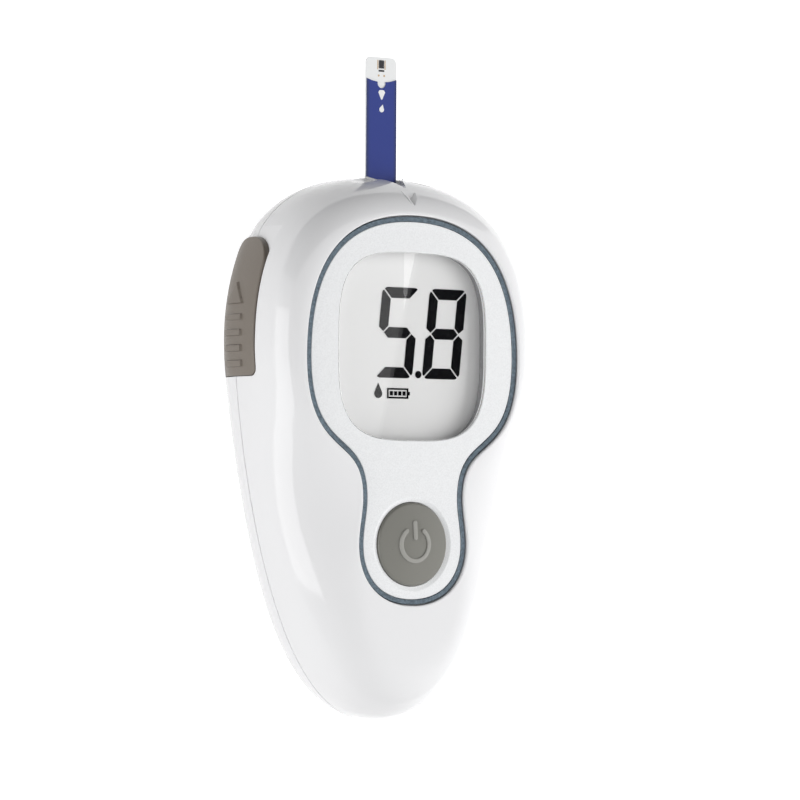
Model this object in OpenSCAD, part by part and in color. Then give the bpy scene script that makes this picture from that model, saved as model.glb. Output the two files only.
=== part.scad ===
// Hand-held blood glucose meter with a test strip in its port.
// Millimetres. +X is the user's right, +Y points at the strip port, +Z is out of the display.
// The origin is the centre of the flat back that the meter lies on.

/* [Body] */
// Length of the body from the foot end to the port end
body_len = 89.3; // [84:0.1:98]
// Width of the body across its widest line
body_w = 53.6; // [51:0.1:60]
// Height of the front rim over the flat back
rim_h = 22.5; // [22:0.1:26]
// Height of the seam between the two shells
seam_h = 10; // [9.6:0.1:10.4]
// How far the widest line lies from the middle, toward the port
widest_y = 16.15; // [12:0.05:18]
// Wall thickness of both shells
wall = 1.8; // [1.5:0.05:2.1]
// Width of the rounded shoulder of the front shell
front_round = 8.6; // [8:0.1:10]
// How much wider that shoulder grows halfway down the body
front_round_extra = 10; // [6:0.1:11]
// Width of the rounded edge of the back shell
back_round = 13.8; // [11:0.1:14]

/* [Face panel] */
// Width of the face panel across the display
panel_w = 39.9; // [38:0.1:42]
// Height of the round part of the panel above its widest line
panel_upper = 22.1; // [21:0.1:22.6]
// Distance from the window's foot down to the panel's waist
panel_neck = 9.4; // [8.6:0.1:10.2]
// Width of the panel at its waist
waist_w = 17.9; // [17.4:0.1:20]
// Width of the round foot of the panel
foot_w = 19.4; // [18.6:0.1:21]
// Distance from the button's centre down to the panel's foot
foot_drop = 9; // [8.8:0.1:10]
// Thickness of the face panel
panel_t = 1.2; // [1:0.05:1.4]
// Depth of the face panel below the front rim
panel_recess = 0.5; // [0.3:0.05:0.8]
// Width of the metal band around the panel
band_w = 0.8; // [0.6:0.05:1.1]
// How far the metal band stands over the panel
band_proud = 0.1; // [0.05:0.05:0.2]
// Width of the ledge that carries the panel's edge
ledge_w = 1; // [0.8:0.05:1.2]
// Thickness of that ledge
ledge_t = 1.2; // [1:0.05:1.4]

/* [Display] */
// Width of the display window
window_w = 29.3; // [26:0.1:29.6]
// Height of the display window
window_h = 30.7; // [28:0.1:30.9]
// Height of the panel above the window
panel_head = 5; // [4.8:0.1:6]
// Squareness of the window's outline
window_squareness = 3.4; // [2.6:0.1:4]
// Thickness of the liquid crystal cell
lcd_t = 2; // [1.6:0.1:2.2]
// How much wider than the window the cell is on each side
lcd_border = 0.55; // [0.3:0.05:0.6]
// Height of a numeral
digit_h = 14.8; // [12:0.1:16]
// Width of a numeral
digit_w = 7.4; // [6:0.1:8]
// Width of a numeral's strokes
stroke_w = 1.75; // [1:0.05:2]
// Lean of the numerals to the right, in degrees
digit_lean = 6; // [0:0.5:8]

/* [Mode button] */
// Diameter of the mode button
button_d = 13.6; // [12:0.1:14]
// Gap between the button and its hole, on each side
button_gap = 0.1; // [0.08:0.01:0.2]
// How far the button can be pressed
button_travel = 0.4; // [0.2:0.05:0.5]
// Height of the button's crown over the panel
button_crown = 0.9; // [0.5:0.05:1.2]

/* [Test strip] */
// Length of the test strip
strip_len = 33; // [30:0.1:35]
// Width of the test strip
strip_w = 6; // [5:0.1:6.4]
// Thickness of the strip's base film
strip_base_t = 0.35; // [0.3:0.01:0.4]
// Thickness of the strip's coloured cover film
strip_film_t = 0.12; // [0.1:0.01:0.14]
// Length of the strip that stands out of the body
strip_out = 19.95; // [18:0.05:21]
// Length of the bare white tip beyond the cover film
strip_tip = 4.3; // [4:0.1:6]

/* [Thumb slider] */
// Height of the slider's thumb plate across the seam
slider_h = 10.6; // [9:0.1:11]
// Angle that the thumb plate covers along the side
slider_span = 32.6; // [31:0.2:34]
// Radius of the thumb plate's path
slider_r = 40.7; // [38:0.1:43]
// How far the thumb plate stands out past the widest line
slider_proud = 0.37; // [0.3:0.01:0.6]
// Thickness of the thumb plate
slider_t = 0.9; // [0.8:0.05:1]
// Angle that the slider travels to push the strip out
slider_travel = 8.6; // [5:0.2:9]

/* [Battery] */
// Diameter of the coin cell
cell_d = 20; // [19.6:0.1:20.2]
// Thickness of the coin cell
cell_t = 3.2; // [3:0.1:3.3]
// Diameter of the battery cover
cover_d = 24; // [23.6:0.1:24.4]
// Thickness of the battery cover's plate
cover_t = 1.5; // [1.3:0.05:1.6]
// How far the battery's centre lies above the body's middle
cell_y = 13.5; // [13:0.1:14]

/* [Electronics] */
// Thickness of the circuit board
board_t = 1; // [0.8:0.05:1.1]
// Height of the rubber connectors between the board and the cell
zebra_h = 1.4; // [1.3:0.05:1.5]
// Diameter of the buzzer
buzzer_d = 9; // [7:0.1:10]
// Height of the buzzer
buzzer_h = 2.6; // [2:0.1:3]

/* [Fasteners] */
// Thread diameter of the shell screws
screw_d = 2; // [1.8:0.05:2.2]
// Diameter of the shell screws' heads
screw_head_d = 3.8; // [3.4:0.1:4]
// Diameter of the bosses that the shell screws pass through
boss_d = 5; // [4.8:0.1:5.2]

/* [Hidden] */
$fn = 64;
e = 0.5;                       // how far a cutter reaches past the face it cuts
gap = 0.1;                     // clearance between pieces that lie side by side
seat_gap = 0.05;               // clearance between pieces that are stacked
rays = 80;                     // points around the shells' outlines
half = rays / 2;

// --- Heights of the stack, from the front down ---
panel_top = rim_h - panel_recess;
ledge_top = panel_top - panel_t;
ledge_under = ledge_top - ledge_t;
lcd_sink = 0.3;                // the cell lies this far under the ledge
lcd_top = ledge_under - lcd_sink;
lcd_under = lcd_top - lcd_t;
board_top = lcd_under - zebra_h;
board_under = board_top - board_t;

// --- Places along the body ---
port_y = body_len / 2;
foot_end_y = -body_len / 2;
panel_offset = 1.4;            // the panel's widest line lies this far below the body's
panel_widest_y = widest_y - panel_offset;
panel_top_y = panel_widest_y + panel_upper;
window_y = panel_top_y - panel_head - window_h / 2;
window_foot_y = window_y - window_h / 2;
waist_y = window_foot_y - panel_neck;
panel_waist_drop = panel_widest_y - waist_y;
waist_to_button = 7.4;
button_y = waist_y - waist_to_button;
ray_rise = 4;
ray_y = waist_y + ray_rise;    // outlines are sampled on rays from (0, ray_y)

// --- Outlines: chains of cubic curves, port end to foot end, right half ---
end_fullness = 0.676;          // handle length of the port end's curve, as a share of its sides
panel_fullness = 0.664;
body_chain = [
    [[0, port_y], [end_fullness * body_w / 2, port_y],
     [body_w / 2, widest_y + end_fullness * (port_y - widest_y)], [body_w / 2, widest_y]],
    [[body_w / 2, widest_y], [body_w / 2, widest_y - 6],
     [0.82 * body_w / 2, foot_end_y], [0, foot_end_y]]];
panel_chain = [
    [[0, panel_top_y], [panel_fullness * panel_w / 2, panel_top_y],
     [panel_w / 2, panel_widest_y + panel_fullness * panel_upper], [panel_w / 2, panel_widest_y]],
    [[panel_w / 2, panel_widest_y], [panel_w / 2, panel_widest_y - 0.74 * panel_waist_drop],
     [waist_w / 2, waist_y + 0.52 * panel_waist_drop], [waist_w / 2, waist_y]],
    [[waist_w / 2, waist_y], [waist_w / 2, waist_y - 2.5],
     [foot_w / 2, button_y + 2.5], [foot_w / 2, button_y]],
    [[foot_w / 2, button_y], [foot_w / 2, button_y - 0.62 * foot_drop],
     [0.62 * foot_w / 2, button_y - foot_drop], [0, button_y - foot_drop]]];

function cubic(p, t) = pow(1 - t, 3) * p[0] + 3 * pow(1 - t, 2) * t * p[1]
    + 3 * (1 - t) * t * t * p[2] + pow(t, 3) * p[3];
function cubic_way(p, t) = pow(1 - t, 2) * (p[1] - p[0]) + 2 * (1 - t) * t * (p[2] - p[1])
    + t * t * (p[3] - p[2]);
function unit(v) = v / norm(v);
// Point at u along a chain, moved outward by off
function chain_point(chain, u, off) =
    let (i = min(floor(u), len(chain) - 1), way = unit(cubic_way(chain[i], u - i)))
    cubic(chain[i], u - i) + off * [-way.y, way.x];
function heading(p) = atan2(p.x, p.y - ray_y);
// Where the ray at this heading crosses the chain, found by halving
function chain_cross(chain, angle, off, lo, hi, steps) =
    let (mid = (lo + hi) / 2, p = chain_point(chain, mid, off))
    steps == 0 ? p
    : heading(p) < angle ? chain_cross(chain, angle, off, mid, hi, steps - 1)
    : chain_cross(chain, angle, off, lo, mid, steps - 1);
function mirrored(right) = concat(right,
    [for (i = [len(right) - 2 : -1 : 1]) [-right[i].x, right[i].y]]);
// Full outline with one point per ray
function ray_outline(chain, off) = mirrored([for (i = [0 : half])
    i == 0 ? [0, chain_point(chain, 0, off).y]
    : i == half ? [0, chain_point(chain, len(chain), off).y]
    : chain_cross(chain, i * 180 / half, off, 0, len(chain), 22)]);
// Full outline with evenly spaced curve steps, for plates
function plate_outline(chain, off) = mirrored([for (i = [0 : 10 * len(chain)])
    let (p = chain_point(chain, i / 10, off)) [max(p.x, 0), p.y]]);
function squircle(half_w, half_h, power) = [for (a = [0 : 5 : 355])
    [half_w * sign(cos(a)) * pow(abs(cos(a)), 2 / power),
     half_h * sign(sin(a)) * pow(abs(sin(a)), 2 / power)]];

// --- Shell surfaces ---
// Height reached at a distance from the edge: 0 at the edge, 1 past the rounding
function rise(d, width, power) = d >= width ? 1 : pow(1 - pow(1 - d / width, power), 1 / power);
front_power = 2.4;
front_inner_power = 3.2;
back_power = 2.2;
rim_land = 0.35;               // flat land on the rim around the panel's recess
band_gap = 0.2;                // groove between the band and the rim
recess_off = band_w + band_gap;
edge = ray_outline(body_chain, 0);
edge_inner = [for (p = edge) let (c = [0, ray_y]) c + (p - c) * (1 - wall / norm(p - c))];
rim = ray_outline(panel_chain, recess_off + rim_land);
ceiling = ray_outline(panel_chain, -ledge_w / 2);
function smooth(t) = let (c = max(0, min(1, t))) c * c * (3 - 2 * c);
foot_fade = 0.8;               // share of that growth lost again toward the foot end
function shoulder(p) = let (u = (widest_y - p.y) / (widest_y - foot_end_y))
    front_round + front_round_extra * smooth(2 * u) * (1 - foot_fade * smooth(2 * u - 1));
function lift(points, z) = [for (p = points) [p.x, p.y, z]];
// Ring at a share of the way from the outer outline to the inner one
function dome_ring(outer, inner, share, power, trim, low, high) =
    [for (i = [0 : rays - 1])
        let (p = outer[i] + (inner[i] - outer[i]) * share, full = norm(inner[i] - outer[i]),
             width = shoulder(edge[i]) - trim)
        [p.x, p.y, low + (high - low) * rise(full * share, width, power) / rise(full, width, power)]];
function bowl_ring(outer, share, width, low, high) =
    [for (p = outer)
        let (c = [0, ray_y], d = width * (1 - pow(cos(90 * share), 2 / back_power)),
             q = c + (p - c) * (1 - d / norm(p - c)))
        [q.x, q.y, high - (high - low) * pow(sin(90 * share), 2 / back_power)]];

// Closed solid through a stack of rings, lowest ring first
module ring_stack(rings) {
    n = len(rings[0]);
    last = len(rings) - 1;
    sides = [for (j = [0 : last - 1], i = [0 : n - 1])
        let (a = j * n + i, b = j * n + (i + 1) % n) each [[a, b, b + n], [a, b + n, a + n]]];
    bottom = [[for (i = [n - 1 : -1 : 0]) i]];
    top = [[for (i = [0 : n - 1]) last * n + i]];
    polyhedron(points = [for (r = rings) each r], faces = concat(sides, bottom, top), convexity = 6);
}
module front_outer() {
    ring_stack([for (j = [0 : 9])
        dome_ring(edge, rim, pow(j / 9, 2), front_power, 0, seam_h, rim_h)]);
}
module front_cavity() {
    ring_stack(concat([lift(edge_inner, seam_h - e)], [for (j = [0 : 7])
        dome_ring(edge_inner, ceiling, pow(j / 7, 2), front_inner_power, wall, seam_h, ledge_under)]));
}
module back_outer() {
    ring_stack([for (j = [8 : -1 : 0]) bowl_ring(edge, j / 8, back_round, 0, seam_h)]);
}
module back_cavity() {
    ring_stack(concat([for (j = [6 : -1 : 0])
        bowl_ring(edge_inner, j / 6, back_round - wall, wall, seam_h)], [lift(edge_inner, seam_h + e)]));
}

// --- Fasteners: four shell screws from the back, two board screws ---
port_screw_x = 10;
port_screw_inset = 7.6;        // from the port end
foot_screw_x = 12.5;
foot_screw_inset = 18.6;       // from the foot end
screw_places = [for (side = [1, -1])
    each [[side * port_screw_x, port_y - port_screw_inset],
        [side * foot_screw_x, foot_end_y + foot_screw_inset]]];
screw_seat = 4.8;
screw_head_t = 1.3;
screw_fit = 0.02;              // play of a screw in the hole that it bites
screw_len = 12;
hole_clear = 0.15;
board_screw_d = 1.6;
board_screw_head_d = 3;
board_screw_head_t = 1;
board_screw_len = 3.6;
board_post_d = 3.8;
board_post_x = 17;
board_post_drop = 3.7;         // below the window
board_post_y = window_foot_y - board_post_drop;
board_posts = [[board_post_x, board_post_y], [-board_post_x, board_post_y]];

// --- Thumb slider: a plate that runs on an arc around (pivot_x, pivot_y) ---
pivot_x = slider_r - body_w / 2 - slider_proud;
pivot_y = widest_y + 1.4;
slider_low_angle = -8.7;       // foot end of the plate, measured up from -X
slider_high_angle = slider_low_angle + slider_span;
slider_clear = 0.12;
stem_angle = 6.2;
stem_half = 2.3;               // half the angle that the stem covers
stem_low = seam_h - 0.4;
stem_high = seam_h + 1.6;
pin_r = slider_r - 7.4;
pin_d = 1.8;
pin_fit = 0.06;
pin_low = seam_h - 2;
flange_out = slider_r - 3;
flange_t = 1;
flange_h = 3.4;
flange_half = 3.6;             // half the angle that the flange covers
// The side wall's inset from the widest edge at a height, for the plate's section
function side_inset(z) = z < seam_h
    ? back_round * (1 - pow(1 - pow((seam_h - z) / seam_h, back_power), 1 / back_power))
    : front_round * (1 - pow(1 - pow((z - seam_h) / (rim_h - seam_h), front_power), 1 / front_power));
function plate_section(low, high, out_by, thick) =
    let (steps = 9, zs = [for (i = [0 : steps]) low + (high - low) * i / steps])
    concat([for (z = zs) [slider_r + out_by - side_inset(z), z]],
        [for (i = [steps : -1 : 0]) [slider_r + out_by - thick - side_inset(zs[i]), zs[i]]]);
// Sweep a section around the pivot between two angles measured up from -X
module swept(from, to) {
    translate([pivot_x, pivot_y, 0])
        rotate([0, 0, 180 - to])
            rotate_extrude(angle = to - from, $fn = 180)
                children();
}
// Side view of the plate, drawn in Y and Z, with its corners rounded
module side_view(y_low, y_high, z_low, z_high, r_low, r_high) {
    translate([-body_w, 0, 0])
        rotate([90, 0, 90])
            linear_extrude(height = body_w)
                union() {
                    for (z = [z_low + r_low, z_high - r_low])
                        translate([y_low + r_low, z]) circle(r = r_low);
                    for (z = [z_low + r_high, z_high - r_high])
                        translate([y_high - r_high, z]) circle(r = r_high);
                    translate([y_low + r_low, z_low])
                        square([y_high - r_high - y_low - r_low, z_high - z_low]);
                    translate([y_low, z_low + r_low])
                        square([e + r_low, z_high - z_low - 2 * r_low]);
                    translate([y_high - r_high - e, z_low + r_high])
                        square([r_high + e, z_high - z_low - 2 * r_high]);
                }
}
plate_low = seam_h - slider_h / 2;
plate_high = seam_h + slider_h / 2;
plate_y_low = pivot_y + slider_r * sin(slider_low_angle);
plate_y_high = pivot_y + slider_r * sin(slider_high_angle);
plate_y_end = pivot_y + slider_r * sin(slider_high_angle + slider_travel);
corner_low = 1.3;
corner_high = 4.9;
module slider_recess() {
    intersection() {
        swept(slider_low_angle - 1, slider_high_angle + slider_travel + 1)
            polygon(plate_section(plate_low - slider_clear, plate_high + slider_clear,
                2, 2 + slider_t + slider_clear));
        side_view(plate_y_low - slider_clear, plate_y_end + slider_clear,
            plate_low - slider_clear, plate_high + slider_clear, corner_low, corner_high - 1);
    }
    swept(stem_angle - stem_half - 0.5, stem_angle + stem_half + slider_travel + 0.5)
        translate([slider_r - 3.6, stem_low - 2 * slider_clear])
            square([3.6, stem_high - stem_low + 4 * slider_clear]);
}

// --- Strip port and strip ---
strip_drop = 2.85;
strip_z = board_under - strip_drop;    // underside of the strip's base
strip_tip_y = port_y + strip_out;
strip_in_y = strip_tip_y - strip_len;
port_side = 0.8;               // room beside the strip at the foot of the funnel
port_half = strip_w / 2 + port_side;
port_peak = rim_h - 3;
port_wall = 1.15;              // wall left behind the funnel
port_lean = 1.9;               // the funnel's back leans this far from foot to peak
connector_w = strip_w + 4;
connector_h = 4;
connector_low = board_under - connector_h;
connector_y_low = strip_in_y - 1.5;
connector_y_high = port_y - 2.4;
channel_w = strip_w + 2 * gap;
channel_low = strip_z - gap;
channel_high = strip_z + strip_base_t + strip_film_t + 3 * gap;

mark_w = 2.8;                  // engraved arrow that points from the port to the display
mark_len = 2.5;
mark_y = port_y - 2.8;
mark_slope = 33;
mark_depth = 0.35;
mark_z = seam_h + (rim_h - seam_h) * rise(port_y - mark_y, front_round, front_power);
module port_mark() {
    translate([0, mark_y, mark_z - mark_depth])
        rotate([-mark_slope, 0, 0])
            linear_extrude(height = 3)
                polygon([[-mark_w / 2, 0], [mark_w / 2, 0], [0, -mark_len / cos(mark_slope)]]);
}
module strip_port() {
    // Funnel open to the port end, its point toward the display
    ring_stack([for (y = [[port_y + e, 0], [port_y - wall + port_wall, port_lean]])
        [[port_half, y[0], channel_low], [0, y[0] - y[1], port_peak], [-port_half, y[0], channel_low]]]);
    // Slot through the wall
    translate([-channel_w / 2, port_y - wall - 1.5, channel_low])
        cube([channel_w, wall + 1.5 + e, channel_high - channel_low]);
}

// --- Battery bay ---
bay_d = cover_d + 3;
bay_wall = 1.3;
cover_gap = 0.12;
cover_low = 0.15;
cover_top = cover_low + cover_t;
lug_w = 26;                    // angle that each lug covers
lug_angles = [30, 150, 270];
lug_twist = 45;                // angle from locked to free
lug_reach = 1;
lug_low = wall + 0.15;
lug_high = lug_low + 1;
hub_t = 1.3;
cell_low = cover_top + seat_gap;
cell_high = cell_low + cell_t;
bay_high = cell_high + 0.65;
roof_t = 1.2;
roof_top = bay_high + roof_t;
contact_t = 0.25;
contact_w = 3;
contact_play = 0.3;            // room for a contact in its slot, on each side
minus_reach = 6.5;             // from the cell's middle to the minus contact's riser
plus_x = cell_d / 2 + seat_gap + contact_t / 2;

module sector(r_in, r_out, low, high, middle, width) {
    translate([0, 0, low])
        rotate([0, 0, middle - width / 2])
            rotate_extrude(angle = width)
                translate([r_in, 0])
                    square([r_out - r_in, high - low]);
}

// ---------------------------------------------------------------- shells
module front_shell() {
    color("white")
    difference() {
        front_outer();
        // Hollow, with the bosses and board posts left standing
        difference() {
            front_cavity();
            for (p = screw_places)
                translate([p.x, p.y, seam_h])
                    cylinder(d = boss_d, h = rim_h);
            for (p = board_posts)
                translate([p.x, p.y, board_top])
                    cylinder(d = board_post_d, h = rim_h);
        }
        // Seat of the band and panel
        translate([0, 0, ledge_top])
            linear_extrude(height = rim_h)
                polygon(plate_outline(panel_chain, recess_off));
        // Opening inside the ledge
        translate([0, 0, seam_h])
            linear_extrude(height = rim_h)
                polygon(plate_outline(panel_chain, -ledge_w));
        for (p = screw_places)
            translate([p.x, p.y, seam_h - e])
                cylinder(d = screw_d + 2 * screw_fit, h = screw_seat + screw_len - seam_h + e + 0.6);
        for (p = board_posts)
            translate([p.x, p.y, board_top - e])
                cylinder(d = board_screw_d + 2 * screw_fit, h = board_screw_len - board_t + e + 0.3);
        strip_port();
        port_mark();
        slider_recess();
    }
}

module back_shell() {
    color("white")
    difference() {
        back_outer();
        difference() {
            back_cavity();
            for (p = screw_places)
                translate([p.x, p.y, -e])
                    cylinder(d = boss_d, h = seam_h + e);
            translate([0, cell_y, -e])
                cylinder(d = bay_d + 2 * bay_wall, h = roof_top + e, $fn = 96);
        }
        // Screw wells and clearance holes
        for (p = screw_places) {
            translate([p.x, p.y, -e])
                cylinder(d = screw_head_d + 2 * hole_clear, h = screw_seat + e);
            translate([p.x, p.y, -e])
                cylinder(d = screw_d + 2 * hole_clear, h = seam_h + 2 * e);
        }
        // Battery bay: mouth, lug notches, pocket and the slots for the contacts
        translate([0, cell_y, 0]) {
            translate([0, 0, -e])
                cylinder(d = cover_d + 2 * cover_gap, h = wall + 2 * e, $fn = 96);
            for (a = lug_angles)
                sector(cover_d / 2 - 1, cover_d / 2 + lug_reach + 0.3, -e, wall + e,
                    a - lug_twist, lug_w + 4);
            translate([0, 0, wall])
                cylinder(d = bay_d, h = bay_high - wall, $fn = 96);
            translate([-contact_w / 2 - contact_play, -minus_reach - contact_play, bay_high - e])
                cube([contact_w + 2 * contact_play, contact_t + 2 * contact_play, roof_t + 2 * e]);
            translate([plus_x - contact_t / 2 - contact_play, -contact_w / 2 - contact_play, bay_high - e])
                cube([contact_t + 2 * contact_play, contact_w + 2 * contact_play, roof_t + 2 * e]);
        }
        slider_recess();
    }
}

// ---------------------------------------------------------------- face
window_flange = 0.8;
bevel_depth = 0.25;
bevel_w = 0.7;
module face_panel() {
    color("whitesmoke")
    translate([0, 0, ledge_top])
        difference() {
            linear_extrude(height = panel_t)
                polygon(plate_outline(panel_chain, -seat_gap));
            translate([0, window_y, -e])
                linear_extrude(height = panel_t + 2 * e)
                    polygon(squircle(window_w / 2, window_h / 2, window_squareness));
            translate([0, window_y, -e])
                linear_extrude(height = panel_t / 2 + e)
                    polygon(squircle(window_w / 2 + window_flange, window_h / 2 + window_flange,
                        window_squareness));
            translate([0, button_y, -e])
                cylinder(d = button_d + 2 * button_gap, h = panel_t + 2 * e, $fn = 96);
            // Shallow bevel round the button
            translate([0, button_y, panel_t - bevel_depth])
                cylinder(d1 = button_d + 2 * button_gap, d2 = button_d + 2 * (button_gap + bevel_w),
                    h = bevel_depth + 0.01, $fn = 96);
        }
}

module panel_band() {
    color("slategray")
    translate([0, 0, ledge_top])
        linear_extrude(height = panel_t + band_proud)
            difference() {
                polygon(plate_outline(panel_chain, band_w));
                polygon(plate_outline(panel_chain, 0));
            }
}

module display_window() {
    color([0.85, 0.9, 0.92, 0.4])
    translate([0, window_y, ledge_top]) {
        linear_extrude(height = panel_t / 2 - seat_gap)
            polygon(squircle(window_w / 2 + window_flange - gap, window_h / 2 + window_flange - gap,
                window_squareness));
        linear_extrude(height = panel_t - seat_gap / 2)
            polygon(squircle(window_w / 2 - seat_gap, window_h / 2 - seat_gap, window_squareness));
    }
}

module display_gasket() {
    color("dimgray")
    translate([0, window_y, lcd_top])
        linear_extrude(height = ledge_top - lcd_top)
            difference() {
                polygon(squircle(window_w / 2 + 1.7, window_h / 2 + 1.7, window_squareness));
                polygon(squircle(window_w / 2 + 0.3, window_h / 2 + 0.3, window_squareness));
            }
}

// ---------------------------------------------------------------- display
lcd_w = window_w + 2 * lcd_border;
lcd_h = window_h + 2 * lcd_border;
module lcd_cell() {
    color("lightgray")
    translate([-lcd_w / 2, window_y - lcd_h / 2, lcd_under])
        cube([lcd_w, lcd_h, lcd_t]);
}

// Seven-segment numerals, as outlines in a digit box with its foot at (0, 0)
segment_t = 0.08;
stroke_gap = 0.2;              // how far each bar stops short of its mitre, along the bar
digit_round = 1.1;             // rounding of a numeral's outer corners
function lean(p) = [p.x + p.y * tan(digit_lean), p.y];
function flip_x(shape) = [for (p = shape) [digit_w - p.x, p.y]];
function flip_y(shape) = [for (p = shape) [p.x, digit_h - p.y]];
// Segments: top, upper right, lower right, foot, lower left, upper left, middle
function segments() = let (w = digit_w, h = digit_h, s = stroke_w, g = stroke_gap, m = h / 2,
    r = digit_round, on_mitre = r * (1 - cos(45)), far = r * (1 - sin(22.5)), near = r * (1 - cos(22.5)),
    top = [[r, h], [w - r, h], [w - far, h - near], [w - on_mitre - g, h - on_mitre],
        [w - s - g, h - s], [s + g, h - s], [on_mitre + g, h - on_mitre], [far, h - near]],
    left = [[0, h - r], [near, h - far], [on_mitre, h - on_mitre - g], [s, h - s - g],
        [s, m + s / 2 + g], [s / 2, m + g], [0, m + s / 2]],
    middle = [[s / 2 + g, m], [s + g, m + s / 2], [w - s - g, m + s / 2], [w - s / 2 - g, m],
        [w - s - g, m - s / 2], [s + g, m - s / 2]])
    [top, flip_x(left), flip_x(flip_y(left)), flip_y(top), flip_y(left), left, middle];
module digit(lit) {
    for (k = lit)
        polygon([for (p = segments()[k]) lean(p)]);
}
digit_x = [-6.1, 3.3];         // left foot of each numeral
digit_drop = 5.1;              // the numerals' foot lies this far below the window's centre
digit_foot_y = window_y - digit_drop;
lit_five = [0, 5, 6, 2, 3];
lit_eight = [0, 1, 2, 3, 4, 5, 6];
point_r = 0.6;
point_gap = 0.66;
drop_r = 0.75;
drop_sink = 2.6;               // small symbols lie this far under the numerals
gauge_x = -3.6;
gauge_w = 4.2;
gauge_h = 1.7;
gauge_line = 0.28;
gauge_bars = 4;
gauge_step = (gauge_w - 3 * gauge_line) / gauge_bars;
module lcd_segments() {
    color("black")
    translate([0, digit_foot_y, lcd_top])
        linear_extrude(height = segment_t) {
            translate([digit_x[0], 0]) digit(lit_five);
            translate([digit_x[1], 0]) digit(lit_eight);
            translate([digit_x[0] + digit_w + point_gap + point_r, 1.1 * point_r])
                circle(r = point_r, $fn = 24);
            // Small drop under the numerals
            translate([digit_x[0] + drop_r, -drop_sink]) {
                circle(r = drop_r, $fn = 24);
                polygon([[-drop_r * cos(30), drop_r * sin(30)], [drop_r * cos(30), drop_r * sin(30)],
                    [0, 2.3 * drop_r]]);
            }
            // Battery gauge beside the drop: a frame, its terminal and level bars
            translate([gauge_x, -drop_sink - drop_r]) {
                difference() {
                    square([gauge_w, gauge_h]);
                    translate([gauge_line, gauge_line])
                        square([gauge_w - 2 * gauge_line, gauge_h - 2 * gauge_line]);
                }
                translate([gauge_w - gauge_line / 2, gauge_h / 2 - gauge_line])
                    square([gauge_line, 2 * gauge_line]);
                for (i = [0 : gauge_bars - 1])
                    translate([2 * gauge_line + i * gauge_step, 1.8 * gauge_line])
                        square([gauge_step - gauge_line, gauge_h - 3.6 * gauge_line]);
            }
        }
}

frame_wall = 0.8;
module lcd_frame() {
    color("ivory")
    translate([0, window_y, board_top])
        difference() {
            translate([-lcd_w / 2 - gap - frame_wall, -lcd_h / 2 - gap - frame_wall, 0])
                cube([lcd_w + 2 * (gap + frame_wall), lcd_h + 2 * (gap + frame_wall),
                    lcd_under - board_top + lcd_t / 2]);
            translate([-lcd_w / 2 - gap, -lcd_h / 2 - gap, -e])
                cube([lcd_w + 2 * gap, lcd_h + 2 * gap, lcd_t * 3 + e]);
        }
}

zebra_w = 1.8;
module zebra_connectors() {
    color("pink")
    for (side = [-1, 1])
        translate([-lcd_w / 2 + 1, window_y + side * (lcd_h / 2 - 1.6) - zebra_w / 2, board_top])
            cube([lcd_w - 2, zebra_w, lcd_under - board_top]);
}

// ---------------------------------------------------------------- electronics
board_half_w = 19.6;
board_edge = 2.4;              // from the screws' line to the board's lower edge
board_low_y = board_post_y - board_edge;
board_high_y = window_y + lcd_h / 2 + 1;
board_corner = 3;
board_corner_high = [5, 7];
neck_half_w = 11;
neck_drop = 6;
tail_half_w = 8.6;
tail_drop = 8.5;
tail_end = 13;
// Right side of the board's outline, foot to port
board_side = [[tail_half_w, button_y - tail_end], [tail_half_w, button_y - tail_drop],
    [neck_half_w, button_y - neck_drop], [neck_half_w + board_corner, board_low_y - board_corner / 2],
    [board_half_w, board_low_y + board_corner], [board_half_w, board_high_y - board_corner_high.y],
    [board_half_w - board_corner_high.x, board_high_y], [connector_w / 2 + 1, board_high_y],
    [connector_w / 2 + 1, connector_y_high - 1]];
module circuit_board() {
    color("darkgreen")
    translate([0, 0, board_under])
        difference() {
            linear_extrude(height = board_t)
                polygon(concat(board_side, [for (i = [len(board_side) - 1 : -1 : 0])
                    [-board_side[i].x, board_side[i].y]]));
            for (p = board_posts)
                translate([p.x, p.y, -e])
                    cylinder(d = board_screw_d + 2 * hole_clear, h = board_t + 2 * e);
        }
}

chip_w = 9;
chip_t = 1.1;
module processor_chip() {
    color("black")
    translate([-chip_w / 2, window_y - chip_w / 2, board_top])
        cube([chip_w, chip_w, chip_t]);
}

memory_size = [4, 5, 1];
memory_x = -11;
module memory_chip() {
    color("black")
    translate([memory_x - memory_size.x / 2, window_y - memory_size.y / 2, board_top])
        cube(memory_size);
}

crystal_r = 0.7;
crystal_len = 5;
crystal_x = 10.5;
module crystal_can() {
    color("silver")
    translate([crystal_x, window_y, board_top + crystal_r])
        rotate([90, 0, 0])
            cylinder(r = crystal_r, h = crystal_len, center = true, $fn = 32);
}

resistor_size = [1, 0.5, 0.4];
resistor_count = 6;
resistor_pitch = 1.8;
resistor_drop = 3.5;           // below the processor
module chip_resistors() {
    color("dimgray")
    for (i = [0 : resistor_count - 1])
        translate([resistor_pitch * (i - (resistor_count - 1) / 2), window_y - chip_w / 2 - resistor_drop,
            board_top])
            cube(resistor_size);
}

capacitor_size = [1.6, 0.8, 0.8];
capacitor_count = 4;           // on each side of the button
capacitor_pitch = 2;
capacitor_x = 8.5;
module chip_capacitors() {
    color("peru")
    for (i = [0 : capacitor_count - 1], side = [-1, 1])
        translate([side * capacitor_x - capacitor_size.x / 2,
            button_y + capacitor_pitch * (i - capacitor_count / 2), board_top])
            cube(capacitor_size);
}

module buzzer() {
    color("black")
    translate([0, button_y, board_under - buzzer_h])
        difference() {
            cylinder(d = buzzer_d, h = buzzer_h);
            translate([0, 0, -e])
                cylinder(d = 1.6, h = e + 0.8);
        }
}

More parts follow.
